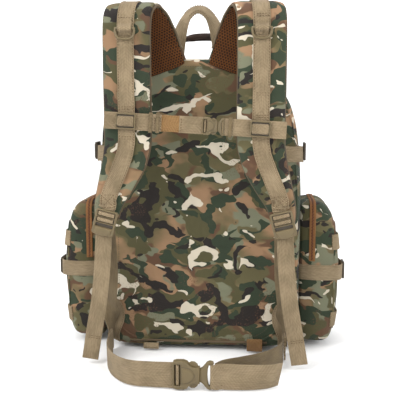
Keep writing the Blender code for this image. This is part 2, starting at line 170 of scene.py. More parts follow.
def plain_weave(graph, place, period):
    """Height of a plain weave on upright and level cloth alike."""
    x, y, z = (graph.parts(place)[i] for i in range(3))
    along = graph.maths("ADD", x, y)
    warp = graph.maths("ABSOLUTE", graph.wave(along, period))
    weft = graph.maths("ABSOLUTE", graph.wave(z, period))
    across = graph.maths("ABSOLUTE", graph.wave(graph.maths("SUBTRACT", x, y), period))
    return graph.maths("ADD", graph.maths("MULTIPLY", warp, weft), graph.maths("MULTIPLY", across, 0.3))


def camo_material():
    """Printed woodland cloth: soft earth tones, crisp leaf shapes, then dark and pale branches."""
    g = Graph("camo_cloth", 0.85)
    place = g.scaled(g.rest(), (1.0, 1.0, 1.45))
    drift = g.vector("SCALE", g.vector("SUBTRACT", g.noise(place, 9, 1, True), (0.5, 0.5, 0.5)))
    drift.node.inputs["Scale"].default_value = 0.085
    curl = g.vector("SCALE", g.vector("SUBTRACT", g.noise(place, 42, 1.5, True), (0.5, 0.5, 0.5)))
    curl.node.inputs["Scale"].default_value = 0.026
    warped = g.vector("ADD", place, g.vector("ADD", drift, curl))

    def layer(offset, scale, detail=1.0):
        return g.noise(g.scaled(warped, (1, 1, 1), offset), scale, detail)

    def branches(offset, scale, width, cover, low, high):
        ridge = g.maths("ABSOLUTE", g.maths("SUBTRACT", layer(offset, scale, 0.8), 0.5))
        mask = g.step(layer((offset[1], offset[2], offset[0] + 3), cover, 0.5), low, high)
        return g.step(g.maths("SUBTRACT", g.maths("MULTIPLY", mask, width), ridge), 0.0, 0.004)

    dark, green, bone = srgb(38, 33, 30), srgb(48, 58, 42), srgb(200, 190, 170)
    tone = g.mix(g.step(layer((1, 2, 3), 13), 0.40, 0.60), srgb(92, 86, 58), srgb(146, 115, 86))
    tone = g.mix(g.step(layer((7, 3, 1), 21), 0.53, 0.59), tone, srgb(92, 67, 49))
    tone = g.mix(g.step(layer((4, 9, 2), 23), 0.56, 0.59), tone, srgb(112, 113, 91))
    tone = g.mix(g.step(layer((8, 5, 6), 18), 0.55, 0.57), tone, srgb(78, 74, 48))
    tone = g.mix(g.step(layer((2, 8, 7), 22), 0.575, 0.582), tone, green)
    tone = g.mix(branches((6, 2, 5), 13, 0.050, 13, 0.50, 0.60), tone, green)
    tone = g.mix(branches((5, 1, 9), 12, 0.050, 14, 0.515, 0.61), tone, dark)
    tone = g.mix(g.step(layer((3, 6, 8), 34), 0.655, 0.661), tone, dark)
    tone = g.mix(branches((9, 4, 3), 15, 0.042, 15, 0.545, 0.64), tone, bone)
    tone = g.mix(g.step(layer((6, 7, 4), 36), 0.70, 0.705), tone, bone)
    dots = g.noise(g.rest(), 420, 1)
    dotted = g.step(g.noise(g.rest(), 16, 1), 0.58, 0.62, 0.0, 0.55)
    speckle = g.maths("MULTIPLY", g.step(dots, 0.60, 0.64), dotted)
    tone = g.mix(speckle, tone, srgb(96, 66, 48))
    fade = g.step(g.noise(g.rest(), 5, 3), 0.3, 0.7, 0.88, 1.06)
    shade = g.node("CombineColor", {}, {0: fade, 1: fade, 2: fade}).outputs[0]
    settings = {"data_type": "RGBA", "blend_type": "MULTIPLY"}
    tone = g.node("Mix", settings, {0: 1.0, 6: tone, 7: shade}).outputs[2]
    weave = plain_weave(g, g.rest(), 1.1 * MM)
    height = g.maths("ADD", weave, g.maths("MULTIPLY", g.noise(g.rest(), 90, 3), 3.0))
    return g.paint(tone, g.step(weave, 0.0, 1.2, 0.95, 0.80), height, 0.00025, 0.9, sheen=0.05)


def webbing_material(name, pale, dark, rib=2.0 * MM):
    """Ribbed webbing: slanted ribs each side of the middle, a firmer edge and faint streaks along it."""
    g = Graph(name, 0.85)
    run = g.parts(g.uv())
    slant = g.maths("ABSOLUTE", run[1])
    ribs = g.wave(g.maths("ADD", run[0], g.maths("MULTIPLY", slant, 0.35)), rib)
    cords = g.wave(run[1], 2.1 * MM)
    height = g.maths("ADD", ribs, g.maths("MULTIPLY", cords, 0.45))
    streaks = g.noise(g.scaled(g.uv(), (60, 700, 1)), 1.0, 2)
    patches = g.noise(g.rest(), 38, 3)
    shade = g.maths("ADD", g.maths("MULTIPLY", streaks, 0.40), g.maths("MULTIPLY", patches, 0.55))
    shade = g.maths("ADD", shade, g.maths("MULTIPLY", ribs, 0.11))
    tone = g.mix(g.step(shade, 0.28, 0.70), dark, pale)
    return g.paint(tone, g.step(patches, 0.3, 0.7, 0.78, 0.94), height, 0.0005, 1.0, sheen=0.05)


def mesh_material():
    """Spacer mesh: a brown net of round holes in staggered rows, the holes painted near black as painted
    shade.
    """
    g = Graph("spacer_mesh", 0.92)
    run = g.parts(g.uv())
    pitch = 3.7 * MM
    half = g.maths("MULTIPLY", run[0], 0.5)
    lean = g.maths("MULTIPLY", run[1], 0.866)
    lattice = g.maths("ADD", g.wave(run[0], pitch), g.wave(g.maths("ADD", half, lean), pitch))
    lattice = g.maths("ADD", lattice, g.wave(g.maths("SUBTRACT", lean, half), pitch))
    net = g.step(lattice, 0.0, 0.9, 1.0, 0.0)
    strand = g.mix(g.noise(g.rest(), 45, 2), srgb(70, 38, 11), srgb(96, 56, 18))
    fuzz = g.maths("ADD", net, g.maths("MULTIPLY", g.noise(g.rest(), 1500, 2), 0.25))
    # The holes get a near-black colour: painted shade inside them.
    return g.paint(g.mix(net, srgb(16, 9, 5), strand), 0.92, fuzz, 0.0011, 1.0)


def plastic_material(name, pale, dark):
    """Moulded plastic: fine grain, faint flow marks and a painted highlight that makes the edges a little
    lighter.
    """
    g = Graph(name, 0.5)
    grain = g.noise(g.rest(), 1800, 2)
    flow = g.noise(g.scaled(g.rest(), (60, 60, 18)), 1.0, 2)
    # Painted highlight: convex edges are mixed towards a lighter tone.
    edge_highlight = g.step(g.node("NewGeometry", {}, {}).outputs["Pointiness"], 0.50, 0.62)
    tone = g.mix(edge_highlight, g.mix(flow, dark, pale), tuple(min(1, c * 1.2) for c in pale[:3]) + (1,))
    return g.paint(tone, g.step(flow, 0.3, 0.7, 0.42, 0.58), grain, 0.00008, 0.6)


def zip_tape_material():
    """Woven zip tape, ribbed along its length."""
    g = Graph("zip_tape", 0.85)
    run = g.parts(g.uv())
    ribs = g.wave(run[0], 1.0 * MM)
    cords = g.wave(run[1], 1.4 * MM)
    tone = g.mix(g.noise(g.rest(), 120, 2), srgb(118, 78, 46), srgb(152, 106, 64))
    return g.paint(tone, 0.85, g.maths("ADD", ribs, cords), 0.0003, 0.8)


def metal_material():
    g = Graph("zip_metal", 0.4)
    g.shader.inputs["Metallic"].default_value = 0.85
    scuffs = g.noise(g.scaled(g.rest(), (900, 200, 200)), 1.0, 3)
    tone = g.mix(scuffs, srgb(38, 34, 31), srgb(92, 82, 70))
    return g.paint(tone, g.step(scuffs, 0.3, 0.7, 0.3, 0.55), scuffs, 0.00006)


def thread_material(name, colour):
    g = Graph(name, 0.7)
    twist = g.noise(g.scaled(g.rest(), (900, 900, 900)), 1.0, 1)
    return g.paint(g.mix(twist, tuple(c * 0.7 for c in colour[:3]) + (1,), colour), 0.7, twist, 0.0001)


def lining_material():
    """Coated inside of the cloth, with a faint grid weave."""
    g = Graph("lining", 0.6)
    tone = g.mix(g.noise(g.rest(), 30, 3), srgb(58, 55, 42), srgb(84, 79, 60))
    return g.paint(tone, 0.62, plain_weave(g, g.rest(), 1.6 * MM), 0.0002)


def foam_material():
    g = Graph("foam", 0.95)
    cells = g.node("TexVoronoi", {}, {"Vector": g.inner(), "Scale": 900.0}).outputs["Distance"]
    return g.paint(g.mix(cells, srgb(24, 24, 24), srgb(58, 58, 56)), 0.95, cells, 0.0004)


def sheet_material():
    """Smooth dark plastic sheet with faint rolling marks."""
    g = Graph("sheet_plastic", 0.45)
    marks = g.noise(g.scaled(g.inner(), (240, 240, 14)), 1.0, 3)
    tone = g.mix(marks, srgb(26, 26, 27), srgb(46, 46, 46))
    return g.paint(tone, g.step(marks, 0.3, 0.7, 0.35, 0.55), marks, 0.0001)


def make_materials():
    return {
        "camo": camo_material(),
        "binding": thread_material("olive_binding", srgb(84, 68, 44)),
        "webbing": webbing_material("tan_webbing", srgb(160, 141, 112), srgb(119, 103, 77)),
        "webbing_shade": webbing_material("shaded_webbing", srgb(128, 111, 82), srgb(96, 82, 59)),
        # Grip handle webbing: dark brown, partly its own colour and partly painted shade.
        "shaded_dark_strap": webbing_material("webbing_dark_and_shaded", srgb(58, 40, 30), srgb(30, 20, 15)),
        "loop": webbing_material("brown_webbing", srgb(136, 102, 64), srgb(102, 74, 44)),
        "elastic": webbing_material("orange_elastic", srgb(148, 114, 72), srgb(116, 87, 53), 2.4 * MM),
        "mesh": mesh_material(),
        "plastic": plastic_material("coyote_plastic", srgb(97, 83, 53), srgb(78, 66, 42)),
        # Dark plastic of the strap sliders, also used as painted shade behind slots, round the buckle dome
        # and under its slot.
        "dark_and_shade_plastic": plastic_material("dark_and_painted_shade_plastic", srgb(62, 52, 36), srgb(40, 33, 23)),
        "zip": zip_tape_material(),
        "coil": thread_material("zip_coil", srgb(96, 54, 28)),
        "metal": metal_material(),
        "thread": thread_material("tan_thread", srgb(98, 74, 44)),
        "thread_dark": thread_material("dark_thread", srgb(74, 62, 44)),
        "lining": lining_material(),
        "foam": foam_material(),
        "sheet": sheet_material(),
    }


# ---------------------------------------------------------------- mesh tools


def add_object(name, bm, materials, smooth=30):
    bmesh.ops.recalc_face_normals(bm, faces=bm.faces)
    mesh = bpy.data.meshes.new(name)
    bm.to_mesh(mesh)
    bm.free()
    for material in materials:
        mesh.materials.append(material)
    mesh.polygons.foreach_set("use_smooth", [True] * len(mesh.polygons))
    mesh.set_sharp_from_angle(angle=math.radians(smooth))
    obj = bpy.data.objects.new(name, mesh)
    bpy.context.scene.collection.objects.link(obj)
    return obj


def second_material(bm, start):
    """Gives the second material to every face added after the first start faces."""
    bm.faces.ensure_lookup_table()
    for face in bm.faces[start:]:
        face.material_index = 1


def apply_modifiers(obj):
    graph = bpy.context.evaluated_depsgraph_get()
    made = bpy.data.meshes.new_from_object(obj.evaluated_get(graph))
    obj.modifiers.clear()
    obj.data = made


def keep_rest(obj, shift=(0, 0, 0)):
    """Stores where each point is at rest; shift moves the print so that panels don't match at their seams."""
    co = np.array([obj.matrix_world @ v.co for v in obj.data.vertices], np.float32).reshape(-1, 3)
    attribute = obj.data.attributes.get("rest") or obj.data.attributes.new("rest", "FLOAT_VECTOR", "POINT")
    attribute.data.foreach_set("vector", (co + np.array(shift, np.float32)).ravel())


def place(obj, body, slot, *nodes, shift=(0, 0, 0)):
    """Finishes a piece: its rest places, the body it rides on and the CAD nodes it stands for; slot is not
    used.
    """
    keep_rest(obj, shift)
    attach(obj, body)
    if nodes:
        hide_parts(*nodes)


def bend(obj, node):
    """Finishes webbing sewn to the bag at the line's start: keeps its rest places, bakes its transform into
    the mesh and hides its CAD node, without a body to ride on.
    """
    keep_rest(obj)
    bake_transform(obj)
    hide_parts(node)


def spline(points, spacing):
    """A smooth line through the points, sampled about every spacing."""
    points = [Vector(p) for p in points]
    found = []
    for i in range(len(points) - 1):
        before, after = points[max(i - 1, 0)], points[min(i + 2, len(points) - 1)]
        start, end = points[i], points[i + 1]
        steps = max(1, round((end - start).length / spacing))
        for step in range(steps):
            t = step / steps
            square = 2 * before - 5 * start + 4 * end - after
            cube = 3 * start - before - 3 * end + after
            found.append(0.5 * (2 * start + (end - before) * t + square * t**2 + cube * t**3))
    found.append(points[-1])
    return found


def along(values, count):
    """count values read evenly off a short list."""
    return list(np.interp(np.linspace(0, 1, count), np.linspace(0, 1, len(values)), values))


def stations(line, width, thick, across, twist=None):
    """Stations along a line: across is the width's direction, and twist turns it in degrees."""
    count = len(line)
    widths = along(width, count) if isinstance(width, (tuple, list)) else [width] * count
    thicks = along(thick, count) if isinstance(thick, (tuple, list)) else [thick] * count
    turns = along(twist, count) if twist else [0] * count
    found = []
    for i, point in enumerate(line):
        tangent = (line[min(i + 1, count - 1)] - line[max(i - 1, 0)]).normalized()
        side = (across - tangent * tangent.dot(across)).normalized()
        side = Matrix.Rotation(math.radians(turns[i]), 3, tangent) @ side
        found.append(Station(point, side, side.cross(tangent).normalized(), widths[i], thicks[i]))
    return found


def moved(line, lift=0.0, sideways=0.0):
    return [s._replace(point=s.point + s.normal * lift + s.side * sideways) for s in line]


def flat_section():
    """A strap's cross-section: flat faces and rounded edges."""
    columns = 6
    top = [(-1 + 2 * i / columns, 1) for i in range(1, columns)]
    edge = [(0.94, 1), (1, 0.45), (1, -0.45), (0.94, -1)]
    bottom = [(-x, -y) for x, y in top]
    return top + edge + bottom + [(-x, -y) for x, y in edge]


def pillow_section(columns=16, fullness=0.55):
    """A padded cross-section, thickest in the middle, with firm edges."""
    found = []
    for i in range(columns + 1):
        x = -1 + 2 * i / columns
        found.append((x, fullness * (1 - x**8) + (1 - fullness) * (1 - x * x) if abs(x) < 1 else 0.25))
    return found + [(-x, -y) for x, y in found]


def round_section(sides=8):
    return [(math.cos(2 * math.pi * i / sides), math.sin(2 * math.pi * i / sides)) for i in range(sides)]


def sweep_into(bm, line, section, loop=False):
    """Adds a closed skin through the stations, with its run along and across in metres as UVs."""
    uv = bm.loops.layers.uv.get("run") or bm.loops.layers.uv.new("run")
    rings, run, total = [], [], 0.0
    for i, s in enumerate(line):
        total += (s.point - line[i - 1].point).length if i else 0.0
        run.append(total)
        rings.append([bm.verts.new(s.point + s.side * (x * s.width / 2) + s.normal * (y * s.thick / 2))
                      for x, y in section])
    count = len(section)
    for i in range(len(rings) - (0 if loop else 1)):
        j = (i + 1) % len(rings)
        for k in range(count):
            m = (k + 1) % count
            face = bm.faces.new((rings[i][k], rings[i][m], rings[j][m], rings[j][k]))
            ends = [(run[i], section[k][0]), (run[i], section[m][0])]
            ends += [(run[j], section[m][0]), (run[j], section[k][0])]
            for corner, (u, v) in zip(face.loops, ends):
                corner[uv].uv = (u, v * line[i].width / 2)
    if not loop:
        for ring, u in ((rings[0], run[0]), (rings[-1], run[-1])):
            face = bm.faces.new(ring)
            for corner, (v, _) in zip(face.loops, section):
                corner[uv].uv = (u, v * line[0].width / 2)
    return bm


def strap(name, line, material):
    return add_object(name, sweep_into(bmesh.new(), line, flat_section()), [material], 50)


def cord(name, points, radius, material, loop=False, sides=8):
    """A round cord through the points."""
    line = [Vector(p) for p in points]
    up = X if abs((line[1] - line[0]).normalized().dot(X)) < 0.9 else Z
    found = []
    for i, point in enumerate(line):
        before = line[i - 1] if i or loop else line[0]
        after = line[(i + 1) % len(line)] if i + 1 < len(line) or loop else line[-1]
        tangent = (after - before).normalized()
        side = (up - tangent * tangent.dot(up)).normalized()
        up = side
        found.append(Station(point, side, side.cross(tangent), 2 * radius, 2 * radius))
    return add_object(name, sweep_into(bmesh.new(), found, round_section(sides), loop), [material], 60)


def stitches_into(bm, points, normals):
    """Rows of short thread bars that sit half sunk along a line on a surface."""
    length, gap, radius = 2.6 * MM, 1.3 * MM, 0.42 * MM
    ends = np.cumsum([0.0] + [(b - a).length for a, b in zip(points, points[1:])])
    count = int(ends[-1] / (length + gap))
    co, no = np.array(points), np.array(normals)

    def at(distance):
        place = Vector([np.interp(distance, ends, co[:, k]) for k in range(3)])
        return place, Vector([np.interp(distance, ends, no[:, k]) for k in range(3)]).normalized()

    for i in range(count):
        start, n = at(i * (length + gap))
        end, _ = at(i * (length + gap) + length)
        tangent = (end - start).normalized()
        side = n.cross(tangent).normalized()
        line = []
        for share, size in ((0.0, 0.35), (0.15, 0.9), (0.5, 1.0), (0.85, 0.9), (1.0, 0.35)):
            centre = start.lerp(end, share) + n * (radius * 0.35 * size)
            line.append(Station(centre, side, n, 2 * radius * size, 2 * radius * size))
        sweep_into(bm, line, round_section(6))


def sew(name, runs, material, body, slot="webbing"):
    """Places one piece that holds several stitched runs, each (points, normals)."""
    bm = bmesh.new()
    for points, normals in runs:
        stitches_into(bm, points, normals)
    place(add_object(name, bm, [material], 60), body, slot)


def webbing(name, line, material, body, *nodes):
    """Places one strap."""
    place(strap(name, line, material), body, "webbing", *nodes)


def moulded(name, bm, materials, body, *nodes):
    """Places one piece of hardware."""
    place(add_object(name, bm, materials, 35), body, "hardware", *nodes)


def flipped(s):
    """A station seen from the strap's other face."""
    return s._replace(normal=-s.normal, side=-s.side)


def mirrored(outline):
    """An outline's other half, across its x axis."""
    return [(x, -y) for x, y in reversed(outline)]


# ---------------------------------------------------------------- reading the CAD frame


def node_points(node):
    return np.array([v.co for v in frame["nodes"][node].data.vertices], float).reshape(-1, 3)


def middle(node):
    low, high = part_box(node)
    return (low + high) / 2


def joint(name):
    return next(j for j in frame["joints"] if j["name"] == name)


def cut_points(node, point, normal, keep):
    """Where a plane cuts a CAD node's edges, of the points that keep allows."""
    mesh = frame["nodes"][node].data
    co = node_points(node)
    first, second = np.array([e.vertices[:] for e in mesh.edges]).T
    height = (co - np.array(point)) @ np.array(normal)
    crossing = height[first] * height[second] < 0
    first, second = first[crossing], second[crossing]
    share = height[first] / (height[first] - height[second])
    hits = co[first] + (co[second] - co[first]) * share[:, None]
    return hits[keep(hits)]


def centre_line(node, planes):
    """The middle of a CAD strap at each (point, normal, keep) plane, and its width there."""
    centres, widths = [], []
    for point, normal, keep in planes:
        hits = cut_points(node, point, normal, keep)
        if len(hits) < 4:
            continue
        centre = Vector((hits.min(0) + hits.max(0)) / 2)
        centres.append(centre)
        widths.append(hits)
    found = []
    for i, centre in enumerate(centres):
        tangent = (centres[min(i + 1, len(centres) - 1)] - centres[max(i - 1, 0)]).normalized()
        side = (X - tangent * tangent.dot(X)).normalized()
        reach = (widths[i] - np.array(centre)) @ np.array(side)
        found.append((centre, float(reach.max() - reach.min())))
    return [c for c, _ in found], [w for _, w in found]


def evenly(points, values, spacing):
    """The line and its values resampled about every spacing along its length."""
    fine = spline(points, spacing / 2)
    ends = np.cumsum([0] + [(b - a).length for a, b in zip(fine, fine[1:])])
    knots = np.cumsum([0] + [(b - a).length for a, b in zip(points, points[1:])])
    knots = knots * ends[-1] / knots[-1]
    count = max(2, round(ends[-1] / spacing) + 1)
    marks = np.linspace(0, ends[-1], count)
    co = np.array(fine)
    line = [Vector([np.interp(m, ends, co[:, k]) for k in range(3)]) for m in marks]
    return line, [float(np.interp(m, knots, values)) for m in marks]


def even_line(points, spacing):
    return evenly(points, [0] * len(points), spacing)[0]


# ---------------------------------------------------------------- soft bodies


def hull_of(name, nodes, voxel):
    """A closed even mesh round these CAD nodes, a little smaller than they are and left out of the render."""
    bm = bmesh.new()
    for co in np.unique(np.round(np.vstack([node_points(node) for node in nodes]), 5), axis=0):
        bm.verts.new(co)
    hull = bmesh.ops.convex_hull(bm, input=bm.verts)
    spare = {g for g in hull["geom_interior"] + hull["geom_unused"] if isinstance(g, bmesh.types.BMVert)}
    bmesh.ops.delete(bm, geom=list(spare), context="VERTS")
    obj = add_object(name, bm, [])
    remesh = obj.modifiers.new("remesh", "REMESH")
    remesh.mode = "VOXEL"
    remesh.voxel_size = voxel
    apply_modifiers(obj)
    low, high = box_of(obj)
    scale = [(h - l - 2 * SKIN_INSET) / (h - l) for l, h in zip(low, high)]
    centre = (low + high) / 2
    for v in obj.data.vertices:
        v.co = centre + Vector([(v.co[i] - centre[i]) * scale[i] for i in range(3)])
    smooth(obj, 2)
    obj.hide_render = True
    return obj


def box_of(obj):
    co = np.array([v.co for v in obj.data.vertices])
    return Vector(co.min(0)), Vector(co.max(0))


def smooth(obj, rounds, strength=0.5):
    bm = bmesh.new()
    bm.from_mesh(obj.data)
    axes = {"use_axis_x": True, "use_axis_y": True, "use_axis_z": True}
    for _ in range(rounds):
        bmesh.ops.smooth_vert(bm, verts=bm.verts, factor=strength, **axes)
    bm.to_mesh(obj.data)
    bm.free()


def inflate(obj, held, pressure=4.0, cap=6 * MM):
    """Cloth simulation of a closed skin under pressure; held lists the points that its seams keep."""
    start = np.array([v.co for v in obj.data.vertices])
    seams = obj.vertex_groups.new(name="seams")
    seams.add(held, 1.0, "REPLACE")
    cloth = obj.modifiers.new("cloth", "CLOTH")
    settings = cloth.settings
    settings.quality = 5
    settings.mass = 0.25
    settings.bending_stiffness = 0.5
    settings.use_pressure = True
    settings.uniform_pressure_force = pressure
    settings.vertex_group_mass = "seams"
    settings.effector_weights.gravity = 0
    cloth.collision_settings.use_self_collision = False
    for number in range(1, 21):
        bpy.context.scene.frame_set(number)
    graph = bpy.context.evaluated_depsgraph_get()
    made = obj.evaluated_get(graph).to_mesh()
    end = np.array([v.co for v in made.vertices])
    obj.modifiers.clear()
    move = end - start
    length = np.linalg.norm(move, axis=1, keepdims=True)
    move *= np.minimum(1, cap / np.maximum(length, 1e-9))
    obj.data.vertices.foreach_set("co", (start + move).astype(np.float32).ravel())
    obj.vertex_groups.clear()
    bpy.context.scene.frame_set(1)
    smooth(obj, 1, 0.3)


def points_where(obj, test):
    """The numbers of the points whose place passes the test."""
    return [v.index for v in obj.data.vertices if test(v.co)]


def crumple(obj, amount, size, seed):
    """Creases pressed into cloth along its normals by fractal noise."""
    vertices = obj.data.vertices
    co = np.array([v.co for v in vertices])
    normals = np.array([v.normal for v in vertices])
    shift = Vector((seed, seed * 2, seed * 3))
    folds = []
    for point in co:
        here = Vector(point) / size + shift
        ridge = 1 - abs(noise.noise(here)) * 2
        folds.append((noise.noise(here * 0.45) * 0.9 + ridge * 0.45 - 0.35) * amount)
    co += normals * np.array(folds)[:, None]
    vertices.foreach_set("co", co.astype(np.float32).ravel())
    obj.data.update()


def subdivide(obj):
    made = obj.modifiers.new("subdivision", "SUBSURF")
    made.levels = made.render_levels = 1
    apply_modifiers(obj)


def tree_of(obj):
    bm = bmesh.new()
    bm.from_mesh(obj.data)
    tree = BVHTree.FromBMesh(bm)
    bm.free()
    return tree


def block(name, low, high):
    bm = bmesh.new()
    low, high = Vector(low), Vector(high)
    matrix = Matrix.Translation((low + high) / 2) @ Matrix.Diagonal((*(high - low), 1))
    bmesh.ops.create_cube(bm, size=1, matrix=matrix)
    return cutter_object(name, bm)


def prism(name, outline, low, high):
    """A cutting block with this outline of (x, z), from low to high in y."""
    bm = bmesh.new()
    near = [bm.verts.new((x, low, z)) for x, z in outline]
    far = [bm.verts.new((x, high, z)) for x, z in outline]
    bm.faces.new(near)
    bm.faces.new(far)
    for i in range(len(outline)):
        j = (i + 1) % len(outline)
        bm.faces.new((near[i], near[j], far[j], far[i]))
    return cutter_object(name, bm)


def cutter_object(name, bm):
    """A cutter whose faces carry the second material, so that the faces it leaves behind can be found."""
    bmesh.ops.recalc_face_normals(bm, faces=bm.faces)
    for face in bm.faces:
        face.material_index = 1
    mesh = bpy.data.meshes.new(name)
    bm.to_mesh(mesh)
    bm.free()
    mesh.materials.append(None)
    mesh.materials.append(None)
    obj = bpy.data.objects.new(name, mesh)
    bpy.context.scene.collection.objects.link(obj)
    obj.hide_render = True
    return obj


def carve(name, solid, cutter, operation, looks):
    """The part of a soft solid outside or inside the cutter, as an open shell of cloth with a lining."""
    obj = bpy.data.objects.new(name, solid.data.copy())
    bpy.context.scene.collection.objects.link(obj)
    obj.data.materials.clear()
    obj.data.materials.append(looks["camo"])
    obj.data.materials.append(looks["lining"])
    cut = obj.modifiers.new("cut", "BOOLEAN")
    cut.operation = operation
    cut.solver = "EXACT"
    cut.object = cutter
    apply_modifiers(obj)
    bm = bmesh.new()
    bm.from_mesh(obj.data)
    bmesh.ops.delete(bm, geom=[f for f in bm.faces if f.material_index == 1], context="FACES")
    bmesh.ops.remove_doubles(bm, verts=bm.verts, dist=0.05 * MM)
    bm.to_mesh(obj.data)
    bm.free()
    wall = obj.modifiers.new("wall", "SOLIDIFY")
    wall.thickness = CLOTH_THICK
    wall.offset = -1
    wall.material_offset = 1
    apply_modifiers(obj)
    obj.data.polygons.foreach_set("use_smooth", [True] * len(obj.data.polygons))
    obj.data.set_sharp_from_angle(angle=math.radians(50))
    return obj


def on_surface(tree, points, lift=0.0):
    """Points laid on a surface and the surface's direction there, evened out along the line."""
    found = [tree.find_nearest(p)[:2] for p in points]
    normals = [n for _, n in found]
    even = []
    for i in range(len(normals)):
        near = normals[max(i - 3, 0):i + 4]
        even.append(sum(near, Vector()).normalized())
    return [p + n * lift for (p, _), n in zip(found, even)], even


def cast(tree, starts):
    """Where lines along +Y from these starts meet a skin, and the skin's direction there."""
    found = [tree.ray_cast(start, Y)[:2] for start in starts]
    found = [(point, normal) for point, normal in found if point is not None]
    return [point for point, _ in found], [normal for _, normal in found]


def hugging(tree, points, width, thick, lift):
    """Stations of a strap that lies on a surface."""
    line, normals = on_surface(tree, points, lift)
    found = []
    for i, (point, normal) in enumerate(zip(line, normals)):
        tangent = (line[min(i + 1, len(line) - 1)] - line[max(i - 1, 0)]).normalized()
        side = tangent.cross(normal).normalized()
        found.append(Station(point, side, side.cross(tangent), width, thick))
    return found


def rays(tree, centre, first, second, start, stop, count):
    """Where rays from a centre in a plane leave a closed skin, from start to stop degrees."""
    found = []
    for step in range(count + 1):
        angle = math.radians(start + (stop - start) * step / count)
        direction = first * math.cos(angle) + second * math.sin(angle)
        hit = tree.ray_cast(centre, direction)[0]
        if hit is not None:
            found.append(hit)
    return found


# ---------------------------------------------------------------- moulded plates


def basis(origin, right, up):
    """A frame with x along right, y up the plate and z out of it."""
    right = Vector(right).normalized()
    out = right.cross(Vector(up)).normalized()
    matrix = Matrix((right, out.cross(right), out)).transposed().to_4x4()
    matrix.translation = origin
    return matrix


def rounded(width, height, radius, centre=(0, 0)):
    """The outline of a rounded rectangle."""
    steps = 4
    found = []
    for turn, (x, y) in enumerate(((1, 1), (-1, 1), (-1, -1), (1, -1))):
        for step in range(steps + 1):
            angle = math.radians(90 * (turn + step / steps))
            found.append((centre[0] + x * (width / 2 - radius) + radius * math.cos(angle),
                          centre[1] + y * (height / 2 - radius) + radius * math.sin(angle)))
    return found


def plate_into(bm, matrix, outer, holes, thick, bevel=0.7 * MM):
    """Adds a plate drawn in the matrix's xy plane, thick along its z, with rounded edges."""
    curve = bpy.data.curves.new("outline", "CURVE")
    curve.dimensions = "2D"
    curve.fill_mode = "BOTH"
    curve.extrude = thick / 2 - bevel
    curve.bevel_depth = bevel
    curve.bevel_resolution = 2
    curve.offset = -bevel
    for outline in (outer, *holes):
        drawn = curve.splines.new("POLY")
        drawn.points.add(len(outline) - 1)
        for point, (x, y) in zip(drawn.points, outline):
            point.co = (x, y, 0, 1)
        drawn.use_cyclic_u = True
    obj = bpy.data.objects.new("outline", curve)
    bpy.context.scene.collection.objects.link(obj)
    mesh = bpy.data.meshes.new_from_object(obj.evaluated_get(bpy.context.evaluated_depsgraph_get()))
    bpy.data.objects.remove(obj)
    bpy.data.curves.remove(curve)
    mesh.transform(matrix)
    bm.from_mesh(mesh)
    bpy.data.meshes.remove(mesh)
    bmesh.ops.remove_doubles(bm, verts=bm.verts, dist=0.004 * MM)
    return bm


def lifted(matrix, x=0.0, y=0.0, z=0.0):
    return matrix @ Matrix.Translation((x, y, z))


# ---------------------------------------------------------------- main bag


def levels(low, high, count, keep=None):
    """Level planes for centre_line."""
    test = keep or (lambda hits: hits[:, 2] > -1)
    return [((0, 0, low + (high - low) * i / (count - 1)), (0, 0, 1), test) for i in range(count)]


def fan(centre, first, second, start, stop, count):
    """Half planes round an axis, from start to stop degrees, for centre_line."""
    found = []
    for i in range(count):
        angle = math.radians(start + (stop - start) * i / (count - 1))
        direction = first * math.cos(angle) + second * math.sin(angle)
        normal = second * math.cos(angle) - first * math.sin(angle)
        found.append((centre, normal, lambda hits, d=direction: (hits - np.array(centre)) @ np.array(d) > 0))
    return found


def outline_of(node, grow):
    """The outline of an upright CAD panel in (x, z), grown outwards and rounded."""
    flat = [(x, z) for x, _, z in node_points(node)]
    outline = [Vector(flat[i]) for i in convex_hull_2d(flat)]
    centre = sum(outline, Vector((0, 0))) / len(outline)
    grown = []
    for i, point in enumerate(outline):
        edge = outline[(i + 1) % len(outline)] - outline[i - 1]
        out = Vector((edge.y, -edge.x)).normalized()
        out *= 1 if out.dot(point - centre) > 0 else -1
        grown.append(point + out * grow)
    return grown


def zipper(name, tree, path, body, node, looks, width=13 * MM):
    """Zip tape on a surface with a row of teeth down its middle."""
    line = even_line(path, 2.4 * MM)
    base = hugging(tree, line, width, 1.0 * MM, 0.5 * MM)
    bm = sweep_into(bmesh.new(), base, flat_section())
    for side in (-1, 1):
        fold = [s._replace(width=s.width * 0.30, thick=1.1 * MM)
                for s in moved(base, 0.7 * MM, side * width * 0.30)]
        sweep_into(bm, fold, flat_section())
    tape = len(bm.faces)
    for i, s in enumerate(base[1:-1]):
        push = 0.5 * MM if i % 2 else -0.5 * MM
        centre = s.point + s.side * push + s.normal * 0.9 * MM
        tangent = s.normal.cross(s.side)
        tooth = [Station(centre + tangent * step, s.side, s.normal, wide, tall)
                 for step, wide, tall in ((-0.95 * MM, 2.0 * MM, 0.7 * MM), (-0.5 * MM, 2.8 * MM, 1.4 * MM),
                                          (0.5 * MM, 2.8 * MM, 1.4 * MM), (0.95 * MM, 2.0 * MM, 0.7 * MM))]
        sweep_into(bm, tooth, round_section(6))
    second_material(bm, tape)
    obj = add_object(name, bm, [looks["zip"], looks["coil"]], 40)
    place(obj, body, "zipper_tape", node)


def piping(name, tree, loop, body, looks, closed=True):
    """A cloth-covered cord sewn along a seam."""
    line, _ = on_surface(tree, loop, 0.2 * MM)
    place(cord(name, line, 1.5 * MM, looks["camo"], closed), body, "camo_fabric")


